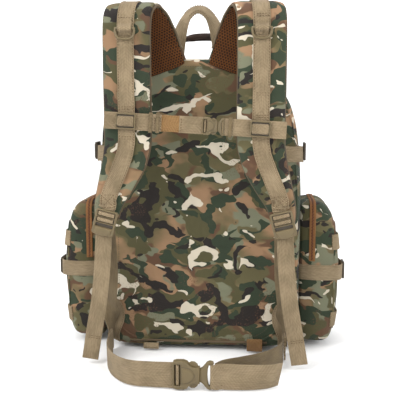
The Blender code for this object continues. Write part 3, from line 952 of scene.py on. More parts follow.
def build_bag(looks):
    """Main body, front flap, their zip, the harness panel and the piping; returns the skin's search tree."""
    skin = hull_of("bag_skin", ["main_shell"], 6.5 * MM)
    low, high = box_of(skin)
    seam_y = (low.y + 7 * MM, high.y - 7 * MM)
    held = points_where(skin, lambda co: min(abs(co.y - y) for y in seam_y) < 4.5 * MM)
    inflate(skin, held, cap=5 * MM)
    subdivide(skin)
    crumple(skin, 1.6 * MM, 75 * MM, 3.1)
    tree = tree_of(skin)

    flap_cut = prism("flap_cut", outline_of("main_flap", 1.0 * MM), 0.06, 0.14)
    body = carve("bag_body", skin, flap_cut, "DIFFERENCE", looks)
    flap = carve("bag_flap", skin, flap_cut, "INTERSECT", looks)
    place(body, "bag", "camo_fabric", "main_shell")
    build_yoke(looks)
    place(flap, "main_flap", "camo_fabric", "main_flap", shift=(0.05, 0, 0.02))

    path = outline_of("main_flap", 7.4 * MM)
    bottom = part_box("main_zipper")[0].z + 10 * MM
    lowest = min(range(len(path)), key=lambda i: (path[i].y, path[i].x))
    path = path[lowest:] + path[:lowest]
    path = [p for p in path if p.y > bottom + 4 * MM]
    path.sort(key=lambda p: math.atan2(p.y - 0.3, p.x))
    path = [Vector((abs(path[0].x), bottom))] + path + [Vector((-abs(path[0].x), bottom))]
    zipper("main_zip", tree, [Vector((p.x, high.y, p.y)) for p in path], "bag", "main_zipper", looks)

    sew_panel(tree, low, (low.z + high.z) / 2, looks)
    sew_hem(tree, low, looks)
    for name, y in (("back", seam_y[0]), ("front", seam_y[1])):
        loop = rays(tree, Vector((0, y, (low.z + high.z) / 2)), X, Z, 0, 360, 260)[:-1]
        piping(f"bag_piping_{name}", tree, loop, "bag", looks)
    return tree


def sew_panel(tree, low, middle_z, looks):
    """Welt round the harness panel and a row of stitches inside it."""
    rim = rays(tree, Vector((0, 0, middle_z)), X, Z, 0, 360, 220)[:-1]

    def inset(share):
        """Places and directions on the panel inside its rim; the welt lies at share 1."""
        found = []
        for p in rim:
            side = math.copysign(min(26 * MM * share, abs(p.x)), p.x)
            slope = min(1, abs(p.z - middle_z) / 0.2)
            rise = math.copysign(14 * MM * share * slope, p.z - middle_z)
            found.append(Vector((p.x - side, low.y - 0.02, p.z - rise)))
        return cast(tree, found)

    welt = [p - Y * 0.1 * MM for p in inset(1.0)[0]]
    place(cord("panel_welt", welt, 1.7 * MM, looks["camo"], True), "bag", "camo_fabric")
    line, normals = inset(1.45)
    runs = [(line + line[:1], normals + normals[:1])]
    sew("panel_thread", runs, looks["thread_dark"], "bag", "camo_fabric")


def sew_hem(tree, low, looks):
    """Bound lower edge of the harness panel and the stitches under it."""
    base, _ = cast(tree, [Vector((x * MM, low.y - 0.05, low.z + 12 * MM)) for x in range(-112, 113, 4)])
    hem = [p - Y * 0.6 * MM for p in base]
    place(cord("bottom_welt", hem, 2.2 * MM, looks["binding"]), "bag", "camo_fabric")
    rows = cast(tree, [p - Z * 3.4 * MM - Y * 0.05 for p in base])
    sew("bottom_thread", [rows], looks["thread_dark"], "bag", "camo_fabric")


def build_yoke(looks):
    """Padded top of the harness panel, which the shoulder straps are sewn behind."""
    reach = 96 * MM
    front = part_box("main_shell")[0].y
    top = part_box("main_shell")[1].z - 6 * MM
    line = []
    for i in range(41):
        x = -reach + 2 * reach * i / 40
        share = abs(x) / reach
        line.append(Vector((x, front, top - 6 * MM * share ** 2)))
    rings = []
    profile = ((0, 3), (-3.5, 3.5), (-8, 2.5), (-11.5, 0), (-13, -5), (-12.6, -12), (-9, -26), (-4, -44),
               (1, -60), (4, -60), (4, -20))
    bm = bmesh.new()
    for i, point in enumerate(line):
        edge = min(1.0, 0.25 + 3.0 * (1 - abs(point.x) / reach))
        wave = 1 + 0.10 * math.sin(i * 0.8) * math.sin(i * 0.23)
        ring = []
        for y, z in profile:
            out = y * edge * wave if y < 0 else y
            ring.append(bm.verts.new(point + Vector((0, out * MM, z * MM))))
        rings.append(ring)
    count = len(profile)
    for a, b in zip(rings, rings[1:]):
        for k in range(count):
            m = (k + 1) % count
            bm.faces.new((a[k], a[m], b[m], b[k]))
    bm.faces.new(rings[0])
    bm.faces.new(rings[-1])
    yoke = add_object("panel_yoke", bm, [looks["camo"]], 60)
    subdivide(yoke)
    crumple(yoke, 0.8 * MM, 30 * MM, 4.4)
    place(yoke, "bag", "camo_fabric")
    yoke_tree = tree_of(yoke)
    runs = [cast(yoke_tree, [p - Y * 0.05 - Z * drop for p in line[1:-1]]) for drop in (8.5 * MM, 12.0 * MM)]
    sew("yoke_thread", runs, looks["thread_dark"], "bag", "camo_fabric")


def press_in(skin, axis, plane, sign, depth):
    """Pulls the side of a pocket that is sewn on into the bag behind it."""
    for v in skin.data.vertices:
        share = max(0.0, min(1.0, 1 - (v.co[axis] - plane) * sign / (12 * MM)))
        v.co[axis] -= sign * depth * share


def build_pouch(looks):
    """Front pouch and its lid, with a zip between them."""
    skin = hull_of("pouch_skin", ["front_pouch", "front_pouch_lid"], 5.5 * MM)
    low, high = box_of(skin)
    seam = high.y - 8 * MM
    held = points_where(skin, lambda co: abs(co.y - seam) < 4 * MM or co.y < low.y + 6 * MM)
    inflate(skin, held, cap=6 * MM)
    press_in(skin, 1, low.y, 1, 6 * MM)
    subdivide(skin)
    crumple(skin, 1.4 * MM, 60 * MM, 7.7)
    tree = tree_of(skin)
    lid_low, lid_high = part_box("front_pouch_lid")
    cut = block("pouch_cut", (lid_low.x - 0.05, lid_low.y, lid_low.z), (lid_high.x + 0.05, 0.3, 0.3))
    body = carve("pouch_body", skin, cut, "DIFFERENCE", looks)
    lid = carve("pouch_lid_cloth", skin, cut, "INTERSECT", looks)
    place(body, "bag", "camo_fabric", "front_pouch", shift=(0.2, 0.1, 0.05))
    place(lid, "pouch_lid", "camo_fabric", "front_pouch_lid", shift=(0.3, 0.1, 0.15))
    loop = rays(tree, Vector((0, seam, (low.z + high.z) / 2)), X, Z, 180, 360, 120)
    piping("pouch_piping", tree, loop, "bag", looks, closed=False)
    zip_y = lid_low.y - 5 * MM
    path = rays(tree, Vector((0, zip_y, lid_low.z + 4 * MM)), X, Z, 0, 180, 160)
    line = even_line(path, 2.4 * MM)
    base = hugging(tree, line, 9 * MM, 1.0 * MM, 0.5 * MM)
    place(strap("pouch_zip_tape", base, looks["zip"]), "bag", "zipper_tape")


def build_pocket(side, sign, looks):
    """Side pocket and its lid, with their trim."""
    skin = hull_of(f"pocket_skin_{side}", [f"pocket_body_{side}", f"pocket_lid_{side}"], 5 * MM)
    low, high = box_of(skin)
    outer = max(low.x, high.x, key=abs)
    seam = outer - sign * 8 * MM
    inner = min(low.x, high.x, key=abs)
    held = points_where(skin, lambda co: abs(co.x - seam) < 3.5 * MM or abs(co.x - inner) < 5 * MM)
    inflate(skin, held, cap=6 * MM)
    press_in(skin, 0, inner, sign, 8 * MM)
    subdivide(skin)
    crumple(skin, 1.5 * MM, 55 * MM, 5.0 + sign)
    tree = tree_of(skin)

    lid_low, lid_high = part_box(f"pocket_lid_{side}")
    if sign > 0:
        cut = block(f"pocket_cut_{side}", (lid_low.x, -0.3, lid_low.z), (0.4, 0.3, 0.4))
    else:
        cut = block(f"pocket_cut_{side}", (-0.4, -0.3, lid_low.z), (lid_high.x, 0.3, 0.4))
    body = carve(f"pocket_cloth_{side}", skin, cut, "DIFFERENCE", looks)
    lid = carve(f"pocket_lid_cloth_{side}", skin, cut, "INTERSECT", looks)
    place(body, "bag", "camo_fabric", f"pocket_body_{side}", shift=(0.07 * sign, 0.05, 0.31))
    place(lid, f"pocket_lid_{side}", "camo_fabric", f"pocket_lid_{side}", shift=(0.07 * sign, 0.05, 0.31))

    build_pocket_trim(side, sign, tree, Vector((seam, POCKET_Y, (low.z + high.z) / 2)), lid_low.z, looks)
    build_ladder(side, sign, tree, looks)


def build_pocket_trim(side, sign, tree, centre, gap_z, looks):
    """Zip, piping and strap of a side pocket; gap_z is the height of the gap under the lid."""
    zip_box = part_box(f"pocket_zipper_{side}")
    path = rays(tree, Vector((middle(f"pocket_zipper_{side}").x, POCKET_Y, zip_box[0].z)), -Y, Z, 0, 180, 120)
    zipper(f"pocket_zip_{side}", tree, path, "bag", f"pocket_zipper_{side}", looks, 10 * MM)

    loop = rays(tree, centre, Y, Z, 0, 360, 200)[:-1]
    upper = [p for p in loop if p.z > gap_z + 2 * MM]
    lower = [p for p in loop if p.z < gap_z - 2 * MM]
    upper.sort(key=lambda p: math.atan2(p.z - centre.z, p.y - centre.y))
    lower.sort(key=lambda p: math.atan2(p.y - centre.y, centre.z - p.z))
    piping(f"pocket_piping_top_{side}", tree, upper, f"pocket_lid_{side}", looks, closed=False)
    piping(f"pocket_piping_low_{side}", tree, lower, "bag", looks, closed=False)

    strap_z = middle(f"pocket_strap_{side}").z
    path = rays(tree, Vector((200 * MM * sign, POCKET_Y, strap_z)), X * sign, Y, -133, 133, 150)
    line = even_line(path, 4 * MM)
    band = hugging(tree, line, WEB_WIDTH, WEB_THICK, 1.0 * MM)
    band = standing_off(band, f"pocket_strap_buckle_{side}", sign)
    webbing(f"pocket_band_{side}", band, looks["webbing"], "bag", f"pocket_strap_{side}")


def build_ladder(side, sign, tree, looks):
    """Two short webbing bands with bar tacks on the pocket's outer face."""
    for name, z, body in (("high", 177 * MM, f"pocket_lid_{side}"), ("low", 48 * MM, "bag")):
        path = rays(tree, Vector((198 * MM * sign, POCKET_Y, z)), X * sign, Y, -74, 74, 72)
        line = even_line(path, 3 * MM)
        band = hugging(tree, line, WEB_WIDTH, WEB_THICK, 0.9 * MM)
        arched = []
        for i, s in enumerate(band):
            rise = abs(math.sin(math.pi * 3 * i / (len(band) - 1))) * 1.5 * MM
            arched.append(s._replace(point=s.point + s.normal * rise))
        webbing(f"pocket_ladder_{name}_{side}", arched, looks["webbing"], body)
        runs = []
        for share in (0.02, 1 / 3, 2 / 3, 0.98):
            s = arched[min(int(share * len(arched)), len(arched) - 1)]
            face, reach = s.point + s.normal * 0.9 * MM, s.side * 11 * MM
            runs.append(([face + reach, face - reach], [s.normal, s.normal]))
        sew(f"pocket_tacks_{name}_{side}", runs, looks["thread"], body)


# ---------------------------------------------------------------- handles


def build_haul_handle(looks):
    """Webbing arch on top of the bag: its legs face the harness side, and its grip is doubled and sewn."""
    low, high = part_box("haul_handle")
    centre = Vector((0, (low.y + high.y) / 2, low.z))
    points, _ = centre_line("haul_handle", fan(centre, X, Z, 1, 179, 26))
    points = [Vector((p.x * 0.70, p.y, low.z + (p.z - low.z) * 0.93)) for p in points]
    points = [points[0] - Z * 7 * MM] + points + [points[-1] - Z * 7 * MM]
    line = even_line(points, 4 * MM)
    turn = [-90, -88, -66, -42, -36, -42, -66, -88, -90]
    arch = stations(line, high.y - low.y, 2.2 * MM, across=Y, twist=turn)
    bm = sweep_into(bmesh.new(), arch, flat_section())
    count = len(arch)
    grip = arch[count // 3:count - count // 3]
    swell = along([2.4, 4.6, 5.4, 5.4, 4.6, 2.4], len(grip))
    grip = [s._replace(thick=t * MM, width=s.width * 0.96) for s, t in zip(grip, swell)]
    sweep_into(bm, grip, pillow_section(10, 0.8))
    place(add_object("haul_handle_web", bm, [looks["webbing"]], 50), "haul_handle", "webbing", "haul_handle")
    runs = []
    for shift in (-8.2, 8.2):
        for face in (-1, 1):
            edge = [s.point + s.side * shift * MM + s.normal * face * 2.7 * MM for s in grip[2:-2]]
            runs.append((edge, [s.normal * face for s in grip[2:-2]]))
    sew("haul_handle_thread", runs, looks["thread"], "haul_handle")


def build_grip_handle(looks):
    """Dark carry handle farther back: flat ends and a rolled grip; its dark brown is partly the webbing's own
    colour and partly painted shade.
    """
    low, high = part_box("grip_handle")
    centre = Vector((0, (low.y + high.y) / 2, low.z))
    points, _ = centre_line("grip_handle", fan(centre, X, Z, 2, 178, 26))
    line = even_line(points, 4 * MM)
    count = len(line)
    thick = along([2, 2.6, 6, 13, 13.5, 13, 6, 2.6, 2], count)
    wide = along([16, 16, 14, 12, 12, 12, 14, 16, 16], count)
    rolled = [s._replace(thick=t * MM, width=w * MM)
              for s, t, w in zip(stations(line, 16 * MM, 2 * MM, across=Y), thick, wide)]
    bm = sweep_into(bmesh.new(), rolled, round_section(14))
    obj = add_object("grip_handle_web", bm, [looks["shaded_dark_strap"]], 60)
    place(obj, "grip_handle", "dark_grip", "grip_handle")


# ---------------------------------------------------------------- shoulder straps


def pad_planes():
    """Cutting planes for a shoulder strap: up the riser, over the top and down the front."""
    turn_y, turn_z = -130 * MM, 505 * MM
    riser = levels(474 * MM, 502 * MM, 4, lambda hits: hits[:, 1] > turn_y)
    over = fan((0, turn_y, turn_z), Y, Z, 0, 180, 13)
    front = levels(500 * MM, 214 * MM, 34, lambda hits: hits[:, 1] < turn_y)
    return riser + over + front


def box_stitch(s, width, height, lift):
    """A sewn box with a cross in it, centred on a station."""
    down = s.normal.cross(s.side).normalized()
    corner = [s.point + s.normal * lift + s.side * (x * width / 2) + down * (y * height / 2)
              for x, y in ((-1, -1), (1, -1), (1, 1), (-1, 1))]
    ways = ((0, 1), (1, 2), (2, 3), (3, 0), (0, 2), (1, 3))
    return [([corner[a], corner[b]], [s.normal, s.normal]) for a, b in ways]


def cross_stitch(s, width, lift):
    """Two rows of stitches straight across a strap."""
    down = s.normal.cross(s.side).normalized()
    rows = []
    for gap in (-1.6 * MM, 1.6 * MM):
        centre, half = s.point + s.normal * lift + down * gap, s.side * width / 2
        rows.append(([centre - half, centre + half], [s.normal, s.normal]))
    return rows


def nearest_station(line, z):
    """The station nearest a height, on the front of a shoulder strap."""
    front = [s for s in line if s.point.y < -140 * MM]
    return min(front, key=lambda s: abs(s.point.z - z))


def build_pad(side, looks):
    """Padded strap with a mesh liner, bound edges and a webbing channel down its outer face."""
    points, widths = centre_line(f"shoulder_pad_{side}", pad_planes())
    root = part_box("main_shell")[1].z - 26 * MM
    rise = points[1] - points[0]
    foot = points[0] - rise * ((points[0].z - root) / rise.z)
    foot.y += 3 * MM
    points = [foot, foot.lerp(points[0], 0.5)] + points
    widths = [widths[1]] * 3 + widths[1:]
    line, widths = evenly(points, widths, 5 * MM)
    count = len(line)
    ease = [min(1.0, math.sqrt(max(0.03, 1 - ((i - (count - 5)) / 4.6) ** 2))) if i > count - 5 else 1.0
            for i in range(count)]
    spine = [s._replace(width=w * e, thick=12 * MM * max(e, 0.45))
             for s, w, e in zip(stations(line, 1, 12 * MM, across=X), widths, ease)]
    section = pillow_section(20, 0.62)
    bm = sweep_into(bmesh.new(), moved(spine, 0.2 * MM), section)
    pad = add_object(f"pad_{side}", bm, [looks["camo"]], 80)
    across = [x for x, _ in section]
    ring = len(section)
    web_half = 12.5 * MM
    held = []
    for i, s in enumerate(spine):
        for k in range(ring):
            reach = abs(across[k]) * s.width / 2
            channel = abs(reach - web_half) < 2.4 * MM and section[k][1] < 0
            if abs(across[k]) > 0.93 or channel or i < 2 or i > count - 3:
                held.append(i * ring + k)
    inflate(pad, held, 5.0, 2.2 * MM)
    subdivide(pad)
    crumple(pad, 1.0 * MM, 34 * MM, 11 + spine[0].point.x * 40)
    place(pad, f"shoulder_{side}", "camo_fabric", f"shoulder_pad_{side}",
          shift=(0.4, 0.02, 0.11 if side == "left" else 0.23))

    inner = [s._replace(width=s.width - 5 * MM, thick=6.5 * MM * max(e, 0.3)) for s, e in zip(spine, ease)]
    bm = sweep_into(bmesh.new(), moved(inner[1:-2], 7.6 * MM), pillow_section(14, 0.5))
    mesh = add_object(f"pad_liner_{side}", bm, [looks["mesh"]], 80)
    subdivide(mesh)
    place(mesh, f"shoulder_{side}", "mesh_liner", f"shoulder_liner_{side}")

    clear = next(i for i, s in enumerate(spine) if s.point.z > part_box("main_shell")[1].z - 2 * MM)
    edge = [s.point + s.side * (s.width / 2 - 0.6 * MM) + s.normal * 4.6 * MM for s in spine[clear:]]
    back = [s.point - s.side * (s.width / 2 - 0.6 * MM) + s.normal * 4.6 * MM for s in spine[clear:]]
    bound = cord(f"pad_binding_{side}", edge + back[::-1], 1.9 * MM, looks["binding"])
    place(bound, f"shoulder_{side}", "camo_fabric")


def build_shoulder_webbing(side, looks):
    """Webbing sewn down the pad, and its stitches."""
    points, _ = centre_line(f"shoulder_webbing_{side}", pad_planes())
    low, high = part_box(f"ladderlock_{side}")
    points.append(Vector(((low.x + high.x) / 2, high.y + 1.4 * MM, high.z - 4 * MM)))
    line = even_line(points, 4 * MM)
    web = stations(line, WEB_WIDTH, WEB_THICK, across=X)
    ripple = [0.25 * MM * math.sin(i * 0.55) for i in range(len(web))]
    rippled = [s._replace(point=s.point + s.normal * rise) for s, rise in zip(web, ripple)]
    webbing(f"pad_webbing_{side}", rippled, looks["webbing"], f"shoulder_{side}", f"shoulder_webbing_{side}")
    sunk, proud = 0.70 * MM, 1.05 * MM
    face = [flipped(s) for s in web]
    runs = []
    heights = (520, 396, 352) if side == "left" else (527, 413, 384)
    for z in heights:
        runs += cross_stitch(nearest_station(face, z * MM), 22 * MM, proud if z > 500 else sunk)
    runs += box_stitch(nearest_station(face, 257 * MM), 19 * MM, 19 * MM, proud)
    for shift in (-10.6, 10.6):
        edge = [s.point + s.side * shift * MM + s.normal * sunk for s in face]
        runs.append((edge, [s.normal for s in face]))
    sew(f"pad_thread_{side}", runs, looks["thread"], f"shoulder_{side}")


def build_dring(side, looks):
    """D-ring that hangs from its straight bar, and the webbing keeper that holds the bar."""
    low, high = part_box(f"dring_{side}")
    centre = (low + high) / 2
    radius = (high.y - low.y) / 2
    half = (high.x - low.x) / 2 - radius
    top = joint(f"dring_{side}_swing")["pos_m"][2]
    drop = (high.z - low.z - 2 * radius) * 0.86
    points = [Vector((centre.x + half * (1 - 2 * i / 8), centre.y, top)) for i in range(9)]
    for i in range(1, 24):
        angle = math.pi * i / 24
        wide = math.copysign(abs(math.cos(angle)) ** 0.55, -math.cos(angle))
        points.append(Vector((centre.x + half * wide, centre.y, top - drop * math.sin(angle) ** 0.75)))
    ring = cord(f"dring_loop_{side}", points, radius * 1.2, looks["plastic"], True, 12)
    place(ring, f"dring_{side}", "hardware", f"dring_{side}")
    web_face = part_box(f"shoulder_webbing_{side}")[0].y
    profile = [(web_face - 0.6 * MM, top + 15 * MM), (web_face - 0.8 * MM, top + 7 * MM),
               (low.y - 0.6 * MM, top + 2.4 * MM), (low.y - 1.3 * MM, top),
               (low.y - 0.6 * MM, top - 2.4 * MM),
               (web_face - 0.8 * MM, top - 6 * MM), (web_face - 0.6 * MM, top - 9 * MM)]
    line = spline([(centre.x, y, z) for y, z in profile], 1.5 * MM)
    width = min(20 * MM, 2 * half - 2.4 * radius - 2 * MM)
    keeper = stations(line, width, 1.2 * MM, across=X)
    webbing(f"dring_keeper_{side}", keeper, looks["webbing"], f"shoulder_{side}")


# ---------------------------------------------------------------- ladderlocks, tails and lower straps


def build_ladderlock(side, looks):
    """Plate with two bars, a webbing wrap and a lifting tab, with a dark plate behind the slots as painted
    shade.
    """
    right = -Vector(joint(f"ladderlock_{side}_tilt")["axis"])
    centre = middle(f"ladderlock_{side}")
    low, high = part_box(f"ladderlock_{side}")
    frame_at = basis(centre, right, Z)
    thick = high.y - low.y
    bm = bmesh.new()
    slots = [rounded(27 * MM, tall * MM, 1.3 * MM, (0, y * MM))
             for y, tall in ((12.6, 7.6), (3.6, 7.6), (-4.6, 5.0))]
    plate_into(bm, frame_at, rounded(34 * MM, 39 * MM, 4 * MM, (0, 0)), slots, thick * 0.72, 1.0 * MM)
    solid_faces = len(bm.faces)
    # The dark plate behind the slots is painted shade: it darkens what shows through them.
    behind = lifted(frame_at, 0, 4.0 * MM, -1.3 * MM)
    plate_into(bm, behind, rounded(29 * MM, 26 * MM, 2 * MM), [], 0.9 * MM, 0.3 * MM)
    second_material(bm, solid_faces)
    corners = ((-13, -8), (13, -8), (12.4, -14), (9.5, -18.6), (4, -20.6), (-4, -20.6), (-9.5, -18.6),
               (-12.4, -14))
    tab = [(x * MM, y * MM) for x, y in corners]
    plate_into(bm, lifted(frame_at, 0, 0, 1.2 * MM), tab, [], thick * 0.8, 1.3 * MM)
    materials = [looks["plastic"], looks["dark_and_shade_plastic"]]
    moulded(f"ladderlock_plate_{side}", bm, materials, f"ladderlock_{side}", f"ladderlock_{side}")
    bm = bmesh.new()
    down = -Vector(frame_at.col[1][:3])
    out = Vector(frame_at.col[2][:3])
    for y, drop in ((15.0, 4.8), (6.0, 4.8)):
        start = centre - down * y * MM
        line = [start - out * 0.8 * MM, start + out * 1.4 * MM + down * 0.8 * MM,
                start + out * 1.5 * MM + down * (drop - 0.8) * MM, start - out * 0.8 * MM + down * drop * MM]
        sweep_into(bm, stations(spline(line, 1.2 * MM), 24.5 * MM, WEB_THICK, across=right), flat_section())
    place(add_object(f"ladderlock_wrap_{side}", bm, [looks["webbing"]], 50), f"ladderlock_{side}", "webbing")


def build_tail(side, sign, looks):
    """Loose strap end that hangs from the ladderlock, folded and sewn at its tip."""
    points, _ = centre_line(f"tail_{side}", levels(220 * MM, 24 * MM, 22))
    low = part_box(f"tail_{side}")[0].z
    drop = points[-1] - points[-2]
    points += [points[-1] + drop * share * (points[-1].z - low - 3 * MM) / -drop.z for share in (0.5, 1)]
    line = even_line(points, 4 * MM)
    count = len(line)
    waved = [p + Y * 1.0 * MM * math.sin(i / count * 9 + sign) for i, p in enumerate(line)]
    turn = [0, 2 * sign, -3 * sign, 4 * sign, 6 * sign]
    tail = stations(waved, WEB_WIDTH, WEB_THICK, across=X, twist=turn)
    bm = sweep_into(bmesh.new(), tail, flat_section())
    fold = moved(tail[-12:], 1.5 * MM)
    sweep_into(bm, [s._replace(width=s.width * 0.99) for s in fold], flat_section())
    obj = add_object(f"tail_web_{side}", bm, [looks["webbing"]], 50)
    place(obj, f"shoulder_{side}", "webbing", f"tail_{side}")
    runs = cross_stitch(flipped(tail[-10]), 21 * MM, 1.0 * MM)
    sew(f"tail_thread_{side}", runs, looks["thread"], f"shoulder_{side}")


def build_lower_strap(side, sign, looks):
    """Anchor strap from the bag's lower corner up to the ladderlock, turned over once."""
    points, _ = centre_line(f"lower_strap_{side}", levels(44 * MM, 196 * MM, 16))
    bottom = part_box(f"lower_strap_{side}")[0].z
    first, last = points[0], points[-1]
    corner = Vector((first.x + 2 * MM * sign, first.y + 1 * MM, bottom - 22 * MM))
    points = [corner] + points + [last + Z * 16 * MM - Y * 8 * MM]
    line = even_line(points, 4 * MM)
    turn = [-78 * sign, -74 * sign, -20 * sign, 38 * sign, 30 * sign, 10 * sign, 4 * sign, 0, 0, 0]
    band = stations(line, WEB_WIDTH, WEB_THICK, across=X, twist=turn)
    obj = strap(f"anchor_strap_{side}", band, looks["webbing_shade"])
    bend(obj, f"lower_strap_{side}")


# ---------------------------------------------------------------- sternum strap


def between(first, last, count):
    return [first.lerp(last, i / (count - 1)) for i in range(count)]


def glide_into(bm, frame_at, width, height, thick):
    """Adds a tri-glide: a frame with a slot above and below its wide middle bar, and a dark plate behind it
    as painted shade seen through the slots.
    """
    holes = [rounded(width * 0.84, height * 0.18, 1.2 * MM, (0, y * height * 0.31)) for y in (-1, 1)]
    plate_into(bm, frame_at, rounded(width, height, 3.0 * MM), holes, thick, 0.9 * MM)
    frame_faces = len(bm.faces)
    # The dark plate behind is painted shade for the slots.
    behind = lifted(frame_at, 0, 0, -thick * 0.36)
    plate_into(bm, behind, rounded(width * 0.9, height * 0.86, 2.0 * MM), [], thick * 0.2, 0.05 * thick)
    second_material(bm, frame_faces)


def build_sternum_glide(side, body, right, up, looks):
    """Tri-glide at one end of the chest strap and the webbing wrapped round its middle bar."""
    low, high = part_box(f"sternum_slider_{side}")
    centre = (low + high) / 2 - Y * 0.4 * MM
    bm = bmesh.new()
    glide_into(bm, basis(centre, right, up), 30 * MM, 24 * MM, high.y - low.y - 0.8 * MM)
    materials = [looks["plastic"], looks["dark_and_shade_plastic"]]
    moulded(f"sternum_glide_{side}", bm, materials, body, f"sternum_slider_{side}")
    face = low.y - 0.5 * MM
    profile = ((2.6, 7.0), (0.2, 5.8), (-0.5, 3.0), (-0.6, 0), (-0.5, -3.0), (0.2, -5.8), (2.6, -7.0))
    points = [Vector((centre.x, face + y * MM, centre.z)) + up * z * MM for y, z in profile]
    wrap = stations(spline(points, 1.2 * MM), 23.5 * MM, 1.4 * MM, across=right)
    webbing(f"sternum_wrap_{side}", wrap, looks["webbing"], body)


def build_sternum(looks):
    """Chest strap: sliders, webbing, elastic and a side-release buckle."""
    web_left, web_right = middle("sternum_web_left"), middle("sternum_web_right")
    right = (web_right - web_left).normalized()
    up = Vector((-right.z, 0, right.x))
    slope = right.z / right.x
    plane = web_left.y - 0.5 * MM

    def at(x, lift=0.0):
        return Vector((x, plane - lift, web_left.z + (x - web_left.x) * slope))

    def run(low, high, lift):
        count = max(4, round((high - low) / (4 * MM)))
        return [p + Y * 0.3 * MM * math.sin(i * 0.9)
                for i, p in enumerate(between(at(low, lift), at(high, lift), count))]

    def web(name, low, high, body, look, *nodes, lift=0.0, thick=WEB_THICK, width=WEB_WIDTH):
        line = stations(run(low, high, lift), width, thick, across=up)
        place(strap(name, line, looks[look]), body, look, *nodes)

    socket = "sternum_socket"
    build_sternum_glide("left", socket, right, up, looks)
    build_sternum_glide("right", "sternum_slider_right", right, up, looks)
    left_low, left_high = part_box("sternum_web_left")
    end = left_high.x
    web("sternum_web_outer", left_low.x + 1 * MM, end, socket, "webbing", "sternum_web_left")
    web("sternum_fold", end - 2 * MM, end + 17 * MM, socket, "webbing", lift=0.9 * MM, thick=3.0 * MM)
    web("sternum_stretch", end + 16 * MM, end + 43 * MM, socket, "elastic", "sternum_elastic", thick=2.0 * MM,
        width=24 * MM)
    web("sternum_web_inner", end + 42 * MM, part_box("sternum_elastic")[1].x + 2 * MM, socket, "webbing")
    right_low, right_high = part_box("sternum_web_right")
    web("sternum_web_plug", right_low.x - 6 * MM, right_high.x - 1 * MM, "sternum_plug", "webbing",
        "sternum_web_right")
    half = 14.2 * MM
    ring = ((1, 0), (0.97, -0.9), (0, -1.15), (-0.97, -0.9), (-1, 0), (-0.97, 0.5), (0, 0.55), (0.97, 0.5))
    for name, x, body in (("outer", end + 1 * MM, socket), ("inner", end + 11.5 * MM, socket),
                          ("plug", right_low.x + 6 * MM, "sternum_plug")):
        hoop = [at(x) + up * half * c + Y * 3.0 * MM * s for c, s in ring]
        line = [Station(p, right, (p - at(x)).normalized(), 5.5 * MM, 1.1 * MM) for p in hoop]
        bm = sweep_into(bmesh.new(), line, flat_section(), True)
        place(add_object(f"sternum_keeper_{name}", bm, [looks["webbing_shade"]], 50), body, "webbing")
    rows = [at(end + x * MM, lift * MM) for x, lift in ((7, 2.6), (16, 2.6), (46, 1.0))]
    runs = [([p - up * 10 * MM, p + up * 10 * MM], [-Y, -Y]) for p in rows]
    sew("sternum_thread", runs, looks["thread"], socket)
    buckle("sternum", right, up, 34 * MM, 26 * MM, (socket, "sternum_plug", "sternum_prong"), looks)


# ---------------------------------------------------------------- side-release buckles

DRAWN_LENGTH, DRAWN_WIDTH = 60, 42


def buckle(name, right, up, length, width, bodies, looks):
    """Both halves of a side-release buckle, whose outlines are drawn at one size and scaled."""
    female, male = f"{name}_buckle_female", f"{name}_buckle_male"
    low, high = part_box(female)
    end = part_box(male)[1].x
    centre = Vector(((low.x + end) / 2, (low.y + high.y) / 2, (middle(female).z + middle(male).z) / 2))
    flat = basis(centre, right, up)
    scale = (length / DRAWN_LENGTH, width / DRAWN_WIDTH, high.y - low.y)
    buckle_socket(name, flat, scale, bodies[0], female, looks)
    buckle_plug(name, flat, scale, bodies[1:], male, looks)


